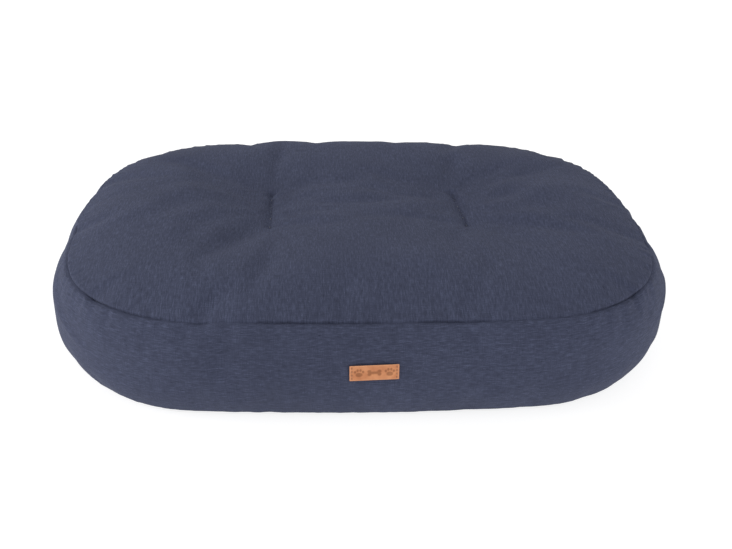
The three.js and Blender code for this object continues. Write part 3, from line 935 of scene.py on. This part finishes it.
def press_under_label(grid):
    """Moves cloth onto the label's plane within its edges, fading out over a centimetre."""
    x, y, z = grid[..., 0], grid[..., 1], grid[..., 2]
    out = np.hypot(
        np.maximum(abs(x - LABEL_X) - LABEL_HALF, 0), np.maximum(abs(z - LABEL_Z) - LABEL_RISE, 0)
    )
    press = np.where(y < 0, np.exp(-((out / (7 * MM)) ** 2)), 0)
    rim = np.exp(-(((out - 0.4 * MM) / (2.2 * MM)) ** 2))
    grid[..., 1] += press * (plane_depth(x, z) + (0.3 + 0.9 * rim) * MM - y)


print(f"the label's plane leans {math.degrees(math.atan(PLANE[2])):.1f} degrees")

# %% The cover's panels
EDGE_ROWS = np.array([0, 0.12, 0.25, 0.4, 0.56, 0.75])
FOLD_BACK = 9 * MM
# The hem's path from the panel's edge, in millimetres inwards and up. It goes 0.4 mm past the
# edge and no further, because the sides of the zip's slider run close by.
HEM_PATH = [(0.25, -0.2), (0.85, -0.4), (1.45, -0.2), (1.7, 0), (1.7, 3), (1.7, FOLD_BACK / MM)]


def rows_between(first, last, start_edge, end_edge):
    """Rows of a stretch of the band, closer together beside an edge that is a seam."""
    inside = np.linspace(first + start_edge, last - end_edge, round((last - first) * 2.2))
    before = first + EDGE_ROWS if start_edge else []
    after = last - EDGE_ROWS[::-1] if end_edge else []
    return np.concatenate([before, inside, after])


def turned_edge(grid, at_start):
    """Folds a panel's edge back behind itself, as a hem: in, round, and back up."""
    edge, next_row = (grid[0], grid[3]) if at_start else (grid[-1], grid[-4])
    up = next_row - edge
    up /= np.linalg.norm(up, axis=-1, keepdims=True)
    inward = np.zeros_like(edge)
    inward[:, :2] = -outline(np.hypot(edge[:, 0], 0) * np.sign(edge[:, 0]))[1]
    hem = np.array([edge + inward * a * MM + up * b * MM for a, b in HEM_PATH])
    return np.concatenate([hem[::-1], grid]) if at_start else np.concatenate([grid, hem])


def build_cover():
    """The top, the bottom, the band and the two panels beside the zip."""
    top = sheet_mesh("top_cover", top_grid, top_grid[..., :2])
    fit(thicken(top, COVER_CLOTH), "cushion", "cover_cloth", cover_cloth, "top_panel")
    low = sheet_mesh("bottom_cover", bottom_grid, bottom_grid[..., :2], flip=True)
    fit(thicken(low, COVER_CLOTH), "cushion", "base_cloth", base_cloth, "bottom_panel")
    last = len(HEIGHTS) - 1
    stretches = [
        ("side_cover", rows_between(0, last, 1, 1), (PANEL_END, PERIMETER - PANEL_END), None),
        ("zip_cover_upper", rows_between(0, 8, 1, 0), (-PANEL_END, PANEL_END), False),
        ("zip_cover_lower", rows_between(10, last, 0, 1), (-PANEL_END, PANEL_END), True),
    ]
    nodes = ["side_band", "zip_panel_upper", "zip_panel_lower"]
    for (name, rows, (start, end), hem), node in zip(stretches, nodes):
        places = np.linspace(start, end, round((end - start) / PANEL_STEP)) / STEP
        grid = fine_band(rows, places)
        press_under_label(grid)
        if hem is not None:
            grid = turned_edge(grid, hem)
        piece = sheet_mesh(name, grid, grid_uv(grid, places * STEP))
        fit(thicken(piece, COVER_CLOTH), "cushion", "cover_cloth", cover_cloth, node)


build_cover()

# %% [markdown]
# ## The lining and the fibre inside
# A thin pale lining holds the loose fibre, so that the cover can come off. It follows the cover
# a few millimetres further in, and it has a slit behind the zip. Moving every point of the
# stuffed shape along its own normal keeps the same folds, so nothing pokes through.

# %% Inner shapes
LINING_DEPTH, FIBRE_DEPTH = 6.0 * MM, 7.6 * MM
LINING_FLOOR, FIBRE_FLOOR = 1.5 * MM, 2.4 * MM  # height of their undersides
SLIT_ROWS, SLIT_END = (7, 11), 22  # rows and columns of the simulated band


def point_normals(points, faces):
    """Unit normals: the sum of the crossed diagonals of the faces round each point."""
    p = points[faces]
    cross = np.cross(p[:, 2] - p[:, 0], p[:, 3] - p[:, 1])
    normals = np.zeros_like(points)
    np.add.at(normals, faces.ravel(), np.repeat(cross, 4, axis=0))
    return normals / np.linalg.norm(normals, axis=1, keepdims=True)


def inner_shape(depth, floor_height):
    """The three grids moved inwards by `depth`, flat where they rest on the cloth below."""
    points, faces = join_grids(soft_top, soft_band, soft_bottom)
    points = points - point_normals(points, faces) * depth
    points[:, 2] = np.maximum(points[:, 2], floor_height)
    top, inner, bottom = split_grids(points)
    crease(top)
    return top, close_band(top, inner, bottom), bottom


def build_lining():
    top, band, bottom = inner_shape(LINING_DEPTH, LINING_FLOOR)
    along = np.arange(ROUND + 1) * STEP
    whole = np.concatenate([band, band[:, :1]], axis=1)
    made = [
        sheet_mesh("inner_top", top, top[..., :2]),
        sheet_mesh("inner_bottom", bottom, bottom[..., :2], flip=True),
        sheet_mesh("inner_band", whole, grid_uv(whole, along), closed=True),
    ]
    names = ["lining_top", "lining_bottom", "lining_band"]
    cuts = [BASE_CUT, BASE_CUT, (cloth_area(whole) / PERIMETER, PERIMETER)]
    rests = [["fibre_cloud", "inner_band"], ["bottom_cover", "inner_band"], ["fibre_cloud"]]
    for piece, name, cut, rest, grid in zip(made, names, cuts, rests, (top, bottom, whole)):
        fit(thicken(piece, LINING_CLOTH), "cushion", "lining_cloth", lining_cloth, name)
    cells = np.arange((len(band) - 1) * ROUND).reshape(-1, ROUND)
    near = np.r_[0:SLIT_END, ROUND - SLIT_END : ROUND]
    cut_faces(made[2], cells[SLIT_ROWS[0] : SLIT_ROWS[1]][:, near].ravel())


def cut_faces(piece, numbers):
    """Takes faces out of a mesh, for a slit."""
    work = bmesh.new()
    work.from_mesh(piece.data)
    work.faces.ensure_lookup_table()
    doomed = [work.faces[k] for k in numbers.tolist()]
    bmesh.ops.delete(work, geom=doomed, context="FACES")
    work.to_mesh(piece.data)
    work.free()


build_lining()


# %% Fibre
def tufts(points, seed, size, count=40):
    """Soft lumps: a sum of sine waves in seeded directions, about `size` across."""
    rng = np.random.default_rng(seed)
    ways = rng.normal(size=(count, 3))
    ways *= 2 * np.pi / (size * rng.uniform(0.7, 1.6, (count, 1)))
    ways /= np.linalg.norm(rng.normal(size=(count, 3)), axis=1, keepdims=True) + 0.6
    return np.sin(points @ ways.T + rng.uniform(0, 2 * np.pi, count)).sum(1) / math.sqrt(count)


def fibre_material():
    """White fibre: curling strands as bent noise, with a soft sheen, deep fine relief, and painted
    shade that greys the colour where the relief is low.
    """
    material = new_material("white_fibre", linear(232, 231, 226), 0.95)
    tree, shader = material.node_tree, shader_of(material)
    place = object_place(tree)
    bend = noise_of(tree, place, 55.0, 3.0, "Color")
    push = add(tree, "VectorMath", {0: bend, "Scale": 0.02}, operation="SCALE")
    bent = add(tree, "VectorMath", {0: place, 1: push.outputs[0]}, operation="ADD")
    strand = noise_of(tree, bent.outputs[0], 420.0, 5.0)
    # Painted shade: the strands are greyer where they lie low in the relief and whiter where they stand
    # up.
    color = ramp_of(tree, strand, (196, 194, 188), (240, 239, 235), (0.3, 0.65))
    feed(tree, shader, {"Base Color": color, "Sheen Weight": 0.35})
    relief(tree, strand, 0.8, 1.5 * MM)
    return material


def build_fibre():
    """The filling, as one closed pad just inside the lining, lumpy where the fibre gathers."""
    points, faces = join_grids(*inner_shape(FIBRE_DEPTH, FIBRE_FLOOR))
    lumps = (tufts(points, 3, 0.03) - 1.2) * 0.7 * MM
    points = points + point_normals(points, faces) * np.minimum(lumps, 0)[:, None]
    points[:, 2] = np.maximum(points[:, 2], FIBRE_FLOOR)
    cloud = mesh_object("fibre_cloud", points, faces)
    smooth(cloud)
    return fit(cloud, "cushion", "fibre", fibre_material(), "fibre_filling")


fibre = build_fibre()
print(f"the fibre has {len(fibre.data.vertices)} points")

# %% [markdown]
# ## Thread
# Thread is two or three thin plies twisted together. It shows in four places: the two lines of
# quilting, the topstitching beside the zip, and the ends of the label. The quilting is a running
# stitch, so one tube goes along the top, down through everything, along below and up again.

# %% Tubes and stitches
def twisted_thread(name, color):
    """Twisted plies: stripes across the UV map `cloth`, which has the length in V, darkened with
    painted shade in the grooves between plies.
    """
    material = new_material(name, linear(*color), 0.7)
    tree, shader = material.node_tree, shader_of(material)
    xyz = add(tree, "SeparateXYZ", {0: cloth_place(tree)})
    turned = math_of(tree, "MULTIPLY", xyz.outputs[0], 2500.0)
    slant = times_plus(tree, xyz.outputs[1], 1100.0, turned)
    wave = times_plus(tree, math_of(tree, "SINE", slant), 0.5, 0.5)
    # Painted shade: the thread darkens to 0.55 of its colour where the ply relief is low.
    dark = tuple(0.55 * c for c in linear(*color)[:3]) + (1.0,)
    mix = add(tree, "Mix", {0: wave, 6: dark, 7: linear(*color)}, data_type="RGBA")
    feed(tree, shader, {"Base Color": mix.outputs[2], "Sheen Weight": 0.3})
    relief(tree, wave, 0.6, 0.1 * MM)
    return material


def ring_faces(rows, sides):
    """Faces of a tube of rings, with an n-sided face to close each end."""
    index = np.arange(rows * sides).reshape(rows, sides)
    after = np.roll(index, -1, axis=1)
    faces = np.stack([index[:-1], after[:-1], after[1:], index[1:]], -1).reshape(-1, 4).tolist()
    return faces + [index[0, ::-1].tolist(), index[-1].tolist()]


def circles(side, other, sides):
    """A unit circle at each point of a path, from two directions square to it."""
    angle = np.linspace(0, 2 * np.pi, sides, endpoint=False)[None, :, None]
    return np.cos(angle) * side[:, None] + np.sin(angle) * other[:, None]


def tube_points(path, side, radius, sides):
    """A circle carried along a path. `side` is a direction square to the path at each point."""
    ahead = np.gradient(path, axis=0)
    ahead /= np.linalg.norm(ahead, axis=1, keepdims=True)
    side = side - (side * ahead).sum(1, keepdims=True) * ahead
    side /= np.linalg.norm(side, axis=1, keepdims=True)
    return path[:, None] + circles(side, np.cross(ahead, side), sides) * radius


def tube_mesh(name, tubes):
    """One mesh from tubes, each an array (rings, sides, xyz), with their length as UV."""
    points, faces, maps, first = [], [], [], 0
    for tube in tubes:
        rows, sides = tube.shape[:2]
        middle = tube.mean(1)
        run = np.concatenate([[0], np.cumsum(np.linalg.norm(np.diff(middle, axis=0), axis=1))])
        u = np.broadcast_to(np.arange(sides) * 0.4 * MM, (rows, sides))
        maps.append(np.stack([u, np.broadcast_to(run[:, None], u.shape)], -1).reshape(-1, 2))
        faces += [[first + k for k in face] for face in ring_faces(rows, sides)]
        points.append(tube.reshape(-1, 3))
        first += rows * sides
    corner = np.concatenate([np.array(face) for face in faces])
    return mesh_object(name, np.concatenate(points), faces, np.concatenate(maps)[corner])


def stitch_tubes(starts, ends, out, radius, lift):
    """Short stitches: each sinks into the cloth at both ends and bows up by `lift` between."""
    s = np.linspace(0, 1, 6)
    profile = np.sin(np.pi * (0.08 + 0.84 * s)) ** 0.5
    run = starts[:, None] + (ends - starts)[:, None] * s[None, :, None]
    run = run + out[:, None] * (lift * np.sin(np.pi * s) - 0.3 * radius)[None, :, None]
    side = np.cross(out, ends - starts)
    side /= np.linalg.norm(side, axis=1, keepdims=True)
    ring = circles(side, out, 6)
    return list(run[:, :, None] + ring[:, None] * (radius * profile)[None, :, None, None])


QUILT_THREAD, FINE_THREAD = 0.42 * MM, 0.3 * MM  # radii
navy_thread = twisted_thread("navy_thread", (52, 56, 76))
tan_thread = twisted_thread("tan_thread", (128, 80, 47))


# %% The quilting
def top_height(x, y):
    """Height of the top at the grid's nearest point."""
    flat = top_grid.reshape(-1, 3)
    near = ((flat[None, :, :2] - np.stack([x, y], -1)[:, None]) ** 2).sum(-1).argmin(1)
    return flat[near, 2]


def quilting(name, line, node, stitches=17):
    """A running stitch: on top, down, below, up, and again, along one line."""
    a, b = np.array(line[0]), np.array(line[1])
    share = np.linspace(0.02, 0.98, stitches + 1)
    xy = a + share[:, None] * (b - a)
    high = top_height(*xy.T) - 0.1 * MM
    low = np.full(len(xy), 1.4 * MM)
    down = (np.arange(stitches + 1) % 2).astype(bool)
    first, second = np.where(down, high, low), np.where(down, low, high)
    path = np.repeat(np.column_stack([xy, np.zeros(len(xy))]), 2, axis=0)
    path[:, 2] = np.column_stack([first, second]).ravel()
    path = path[1:-1]
    share = np.linspace(0, len(path) - 1, 8 * len(path))
    path = np.stack([np.interp(share, np.arange(len(path)), path[:, k]) for k in range(3)], -1)
    across = np.array([*(b - a)[::-1] * (1, -1), 0])
    tube = tube_points(path, np.broadcast_to(across, path.shape), QUILT_THREAD, 8)
    return fit(tube_mesh(name, [tube]), "cushion", "quilting_thread", navy_thread, node)


for side, line in zip(("left", "right"), QUILT_LINES):
    quilting(f"quilting_{side}", line, f"quilt_thread_{side}")

# %% [markdown]
# ## The zip
# The zip runs along the rear, under the middle of the band. It is a coil zip: a nylon wire
# wound round a cord and sewn to each tape. A helix with a pitch of a millimetre and a half,
# carried along the outline, gives both rows. The slider and its pull keep their exact CAD
# shape, because they move, and they get a worn dark metal.

# %% Tapes and coils
COIL_PITCH, WIRE = 1.5 * MM, 0.32 * MM
COIL_TURN = 0.92 * MM  # half the depth of a turn
COIL_DEPTH, CORD = 0.45 * MM, 0.42 * MM  # of the coil's middle behind the outline, cord's radius
COIL_END, TAPE_END = 0.1632, 0.1665  # from the rear's middle
STRIP_DEPTH = 1.75 * MM  # of tapes and tabs behind the outline


def strip(along, z_high, z_low):
    """A strip behind the panels: a grid that follows the outline, between two heights."""
    z = np.linspace(z_high, z_low, 9)
    grid = np.zeros((len(z), len(along), 3))
    grid[..., :2] = outline(along, -STRIP_DEPTH)[0]
    grid[..., 2] = z[:, None]
    return grid


def tape(name, node, z_low, z_high):
    """One tape of the zip."""
    along = np.linspace(-TAPE_END, TAPE_END, 150)
    grid = strip(along, z_high, z_low)
    piece = sheet_mesh(name, grid, grid_uv(grid, along))
    return fit(thicken(piece, TAPE_CLOTH), "cushion", "zip_tape", tape_cloth, node)


def coil(name, node, material):
    """A helix round a cord: an ellipse in depth and height that moves along as it turns."""
    low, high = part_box(node)
    z, tall = (low.z + high.z) / 2, (high.z - low.z) / 2 - WIRE
    turns = round(2 * COIL_END / COIL_PITCH)
    angle = np.linspace(0, 2 * np.pi * turns, turns * 10 + 1)
    along = np.linspace(-COIL_END, COIL_END, len(angle))
    out, up = np.cos(angle), np.sin(angle)
    path = np.column_stack([outline(along, -COIL_DEPTH + COIL_TURN * out)[0], z + tall * up])
    side = np.column_stack([outline(along)[1] * out[:, None], up])
    wire = tube_points(path, side, WIRE, 5)
    line = np.linspace(-COIL_END, COIL_END, 160)
    core = np.column_stack([outline(line, -COIL_DEPTH)[0], np.full(len(line), z)])
    cord = tube_points(core, np.broadcast_to([0.0, 0.0, 1.0], core.shape), CORD, 6)
    return fit(tube_mesh(name, [wire, cord]), "cushion", "zip_teeth", material, node)


def nylon_material():
    """Dark nylon wire: slow changes of tone, which also change how it shines."""
    material = new_material("dark_nylon", linear(40, 43, 56), 0.38)
    tree = material.node_tree
    tone = use_group(tree, TONE, {"Scale": 60.0})[0]
    color = ramp_of(tree, tone, (33, 36, 48), (55, 59, 76))
    rough = times_plus(tree, tone, 0.25, 0.28)
    feed(tree, shader_of(material), {"Base Color": color, "Roughness": rough})
    return material


nylon = nylon_material()
for row in ("upper", "lower"):
    tape(f"tape_{row}", f"zip_tape_{row}", *(corner.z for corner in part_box(f"zip_tape_{row}")))
for row in ("upper", "lower"):
    coil(f"coil_{row}", f"zip_teeth_{row}", nylon)
print(f"each coil turns {round(2 * COIL_END / COIL_PITCH)} times")


# %% Topstitching, end tabs and metal
TOPSTITCH_PITCH, TOPSTITCH_LENGTH = 3.6 * MM, 2.7 * MM
TAB_GAP, TAB_REACH, TAB_HALF = 0.3 * MM, 12.7 * MM, 6 * MM  # from the tape's end, and half height


def topstitching(name, z):
    """A row of stitches along the zip, on the outer face of the folded edge."""
    count = round(2 * PANEL_END / TOPSTITCH_PITCH) - 2
    start = (np.arange(count) - count / 2) * TOPSTITCH_PITCH + 0.5 * MM
    row = np.interp(-z, -HEIGHTS, np.arange(len(HEIGHTS)))

    def on_band(along):
        line = along_grid(soft_band, np.array([row]), 0)
        return along_grid(line, along / STEP, 1, wrap=True)[0]

    out = np.column_stack([outline(start)[1], np.zeros(count)])
    end = on_band(start + TOPSTITCH_LENGTH)
    tubes = stitch_tubes(on_band(start), end, out, FINE_THREAD, lift=0.28 * MM)
    return fit(tube_mesh(name, tubes), "cushion", "quilting_thread", navy_thread)


def end_tab(name, node, sign):
    """A scrap of cover cloth that closes the slit between the panels, past the zip's stops."""
    along = sign * np.linspace(TAPE_END + TAB_GAP, TAPE_END + TAB_REACH, 9)
    grid = strip(along, ZIP_HEIGHT + TAB_HALF, ZIP_HEIGHT - TAB_HALF)
    piece = sheet_mesh(name, grid, grid_uv(grid, along), flip=sign < 0)
    return fit(thicken(piece, TAB_CLOTH), "cushion", "cover_cloth", cover_cloth, node)


def worn_metal():
    """Dark plated metal, brighter and smoother where fingers rub it, with fine scratches."""
    material = new_material("worn_dark_metal", linear(112, 112, 116), 0.3, 1.0)
    tree, shader = material.node_tree, shader_of(material)
    place = object_place(tree)
    patch = noise_of(tree, place, 160.0, 4.0)
    long = add(tree, "Mapping", {"Vector": place, "Scale": (3500.0, 260.0, 260.0)}).outputs[0]
    scratch = noise_of(tree, long, 1.0, 2.0)
    color = ramp_of(tree, patch, (104, 104, 108), (138, 137, 137), (0.35, 0.7))
    rough = times_plus(tree, scratch, 0.25, 0.4)
    rough = times_plus(tree, patch, -0.3, rough)
    feed(tree, shader, {"Base Color": color, "Roughness": rough})
    relief(tree, scratch, 0.15, 0.05 * MM)
    return material


FROM_FOLD = 3 * MM  # of the topstitching
topstitching("topstitch_upper", ZIP_HEIGHT + ZIP_OPENING / 2 + FROM_FOLD)
topstitching("topstitch_lower", ZIP_HEIGHT - ZIP_OPENING / 2 - FROM_FOLD)
end_tab("slit_tab_left", "zip_end_tab_left", 1)
end_tab("slit_tab_right", "zip_end_tab_right", -1)
metal = worn_metal()
METAL_NODES = ["zip_slider", "zip_pull", "zip_bottom_stop", "zip_top_stop_upper", "zip_top_stop_lower"]
for node_name in METAL_NODES:
    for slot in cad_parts[node_name].material_slots:
        slot.material = metal
print("metal on", ", ".join(METAL_NODES))

# %% [markdown]
# ## The leather label
# A piece of tan leather with softened edges, sewn on at its two ends. A stamp has pressed a
# simple mark into it: a bone between two paws. The mark is a distance to a few round shapes, so
# one formula gives both the depth of the stamp and the darker colour of the pressed leather.

# %% Label
LABEL_ROLL = math.radians(0.6)
LEATHER = 1.0 * MM  # how thick it is
LABEL_STITCHES, STITCH_INSET, STITCH_HALF = 4, 2.3 * MM, 1.3 * MM


def round_distance(x, z, shapes):
    """Distance to the nearest of a few ellipses: x, z, half width, half height, in mm."""
    best = np.full(x.shape, 99.0)
    for cx, cz, a, b in shapes:
        r = np.hypot((x - cx) / a, (z - cz) / b)
        best = np.minimum(best, (r - 1) * min(a, b))
    return best


def stamp(x, z):
    """1 inside the mark and 0 outside, with a soft edge a fifth of a millimetre wide."""
    shapes = [(sx * 4.9, sz * 1.55, 1.95, 1.85) for sx in (-1, 1) for sz in (-1, 1)]
    for middle in (-15.0, 15.0):
        shapes += [(middle, -1.7, 3.3, 2.4), (middle - 3.9, 1.5, 1.15, 1.5)]
        shapes += [(middle - 1.4, 3.2, 1.15, 1.6), (middle + 1.4, 3.2, 1.15, 1.6)]
        shapes += [(middle + 3.9, 1.5, 1.15, 1.5)]
    bar = np.maximum(abs(x) - 4.9, abs(z) - 1.5)
    distance = np.minimum(round_distance(x, z, shapes), bar)
    return 1 / (1 + np.exp(distance / 0.16))


def leather_material():
    """Tan leather: pebbled grain, uneven dye, dark stamped marks and paler rubbed edges."""
    material = new_material("tan_leather", linear(196, 128, 84), 0.55)
    tree, shader = material.node_tree, shader_of(material)
    place = cloth_place(tree)
    pebble = add(tree, "TexVoronoi", {"Vector": place, "Scale": 1300.0}, feature="DISTANCE_TO_EDGE")
    grain = math_of(tree, "SMOOTH_MIN", pebble.outputs["Distance"], 0.25, 0.1)
    dye = noise_of(tree, place, 90.0, 5.0)
    dyed = ramp_of(tree, dye, (182, 112, 70), (212, 144, 98), (0.3, 0.72))
    mark = add(tree, "Attribute", attribute_name="mark").outputs["Fac"]
    edge = add(tree, "Attribute", attribute_name="edge").outputs["Fac"]
    color = dyed
    for mask, tint in ((mark, (112, 66, 34)), (edge, (228, 172, 134))):
        share = math_of(tree, "MULTIPLY", mask, 0.55)
        color = add(tree, "Mix", {0: share, 6: color, 7: linear(*tint)}, data_type="RGBA").outputs[2]
    rough = times_plus(tree, mark, 0.15, 0.62)
    rough = times_plus(tree, dye, -0.2, rough)
    feed(tree, shader, {"Base Color": color, "Roughness": rough, "Specular IOR Level": 0.4})
    relief(tree, grain, 0.8, 0.2 * MM)
    return material


def turned_label(x, z):
    """Where a point of the label lies on the front, after the label's slight roll."""
    c, s = math.cos(LABEL_ROLL), math.sin(LABEL_ROLL)
    return LABEL_X + x * c - z * s, LABEL_Z + x * s + z * c


def build_label():
    """A rounded rectangle laid on the label's plane: edges curve down, the stamp goes in."""
    half, rise, corner, soft = LABEL_HALF / MM, LABEL_RISE / MM, 0.7, 0.45
    fine_x = np.concatenate([[-1, -0.998, -0.992, -0.984], np.linspace(-0.975, 0.975, 190)])
    fine_x = np.concatenate([fine_x, [0.984, 0.992, 0.998, 1]]) * half
    fine_z = np.concatenate([[1, 0.994, 0.98, 0.96], np.linspace(0.935, -0.935, 70)])
    fine_z = np.concatenate([fine_z, [-0.96, -0.98, -0.994, -1]]) * rise
    x, z = np.meshgrid(fine_x, fine_z)
    qx, qz = abs(x) - (half - corner), abs(z) - (rise - corner)
    turn = (qx > 0) & (qz > 0)
    shrink = np.where(turn, np.maximum(qx, qz) / np.maximum(np.hypot(qx, qz), 1e-9), 1)
    edge = np.minimum(half - abs(x), rise - abs(z))
    x = np.where(turn, np.sign(x) * (half - corner + qx * shrink), x)
    z = np.where(turn, np.sign(z) * (rise - corner + qz * shrink), z)
    drop = soft * (1 - np.sqrt(1 - (1 - np.minimum(edge / soft, 1)) ** 2))
    mark = stamp(x, z)
    lift = LABEL_THICK / MM - drop - 0.3 * mark - 0.12 * np.exp(-((edge - 1.1) ** 2) / 0.05)
    px, pz = turned_label(x * MM, z * MM)
    lean = math.atan(PLANE[2])
    y = plane_depth(px, pz) - lift * MM * math.cos(lean)
    grid = np.stack([px, y, pz + lift * MM * math.sin(lean)], -1)
    piece = sheet_mesh("tan_label", grid, np.stack([x, z], -1) * MM, flip=True)
    for name, values in (("mark", mark), ("edge", np.exp(-edge / 0.7))):
        layer = piece.data.attributes.new(name, "FLOAT", "POINT")
        layer.data.foreach_set("value", values.ravel().astype(np.float32))
    return fit(thicken(piece, LEATHER), "cushion", "leather", leather_material(), "leather_label")


def label_stitching(name, node, sign):
    """Four upright stitches near one end of the label."""
    x = np.full(LABEL_STITCHES, sign * (LABEL_HALF - STITCH_INSET))
    z = (np.arange(LABEL_STITCHES) - (LABEL_STITCHES - 1) / 2) * 3.9 * MM

    def on_label(x, z):
        px, pz = turned_label(x, z)
        return np.stack([px, plane_depth(px, pz) - LABEL_THICK - 0.1 * MM, pz], -1)

    out = np.broadcast_to([0.0, -1.0, 0.0], (LABEL_STITCHES, 3))
    low, high = on_label(x, z - STITCH_HALF), on_label(x, z + STITCH_HALF)
    tubes = stitch_tubes(low, high, out, FINE_THREAD, lift=0.2 * MM)
    return fit(tube_mesh(name, tubes), "cushion", "label_thread", tan_thread, node)


label = build_label()
label_stitching("label_end_left", "label_stitches_left", -1)
label_stitching("label_end_right", "label_stitches_right", 1)
print(f"the label has {len(label.data.vertices)} points")

# %% [markdown]
# ## The care label
# A short loop of white tape is caught in the seam below the zip and hangs inside the cover. It
# carries no words here. Its profile is a flat loop: down, round a small bend, and back up.

# %% Care label
def build_care_label():
    low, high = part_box("care_label")
    x = np.linspace(low.x, high.x, 14)
    tall = high.z - low.z - 1 * MM
    s = np.linspace(0, 1, 25)
    down = np.where(s < 0.5, s * 2, (1 - s) * 2)
    z = high.z - tall * np.sin(np.pi / 2 * down) ** 1.2
    depth = 2.0 * MM + 0.7 * MM * np.clip((s - 0.42) / 0.16, 0, 1)
    row = np.interp(-z, -HEIGHTS, np.arange(len(HEIGHTS)))
    steps = np.linspace(-0.2, 0.2, 81)
    along = np.interp(x, outline(steps)[0][:, 0], steps)
    line = along_grid(along_grid(soft_band, row, 0), along / STEP, 1, wrap=True)
    normal = outline(along)[1]
    line[..., :2] -= normal * depth[:, None, None]
    piece = sheet_mesh("care_loop", line, grid_uv(line, along))
    return fit(thicken(piece, CARE_CLOTH), "cushion", "care_cloth", care_cloth, "care_label")


build_care_label()

# %% [markdown]
# ## The floor and the light
# A pale seamless floor and a bright room, with one large soft light at the upper left, which is
# what draws the folds on the top and leaves the right side a little darker.

# %% Stage and lights
def add_light(name, place, size, power):
    """A square area light that faces the middle of the cushion."""
    lamp = bpy.data.lights.new(name, "AREA")
    lamp.size, lamp.energy = size, power
    light = bpy.data.objects.new(name, lamp)
    turn = (Vector(MIDDLE) - Vector(place)).to_track_quat("-Z", "Y")
    light.matrix_world = Matrix.Translation(place) @ turn.to_matrix().to_4x4()
    bpy.context.scene.collection.objects.link(light)


def build_floor():
    corners = [(-6, -6, -0.0005), (6, -6, -0.0005), (6, 6, -0.0005), (-6, 6, -0.0005)]
    floor = mesh_object("pale_floor", np.array(corners), np.array([[0, 1, 2, 3]]))
    material = new_material("pale_floor", (0.34, 0.34, 0.345, 1), 0.8)
    glow = {"Emission Color": (1, 1, 1, 1), "Emission Strength": 0.80}
    feed(material.node_tree, shader_of(material), glow)
    floor.data.materials.append(material)


build_floor()
world = bpy.data.worlds.new("studio")
bpy.context.scene.world = world
world.use_nodes = True
sky = {"Color": (1, 1, 1, 1), "Strength": 0.72}
feed(world.node_tree, world.node_tree.nodes["Background"], sky)
add_light("key", (-2.2, -0.3, 0.8), size=1.0, power=28)
add_light("fill", (2.1, -1.0, 0.9), size=1.6, power=11)
bpy.context.scene.view_settings.view_transform = "Standard"
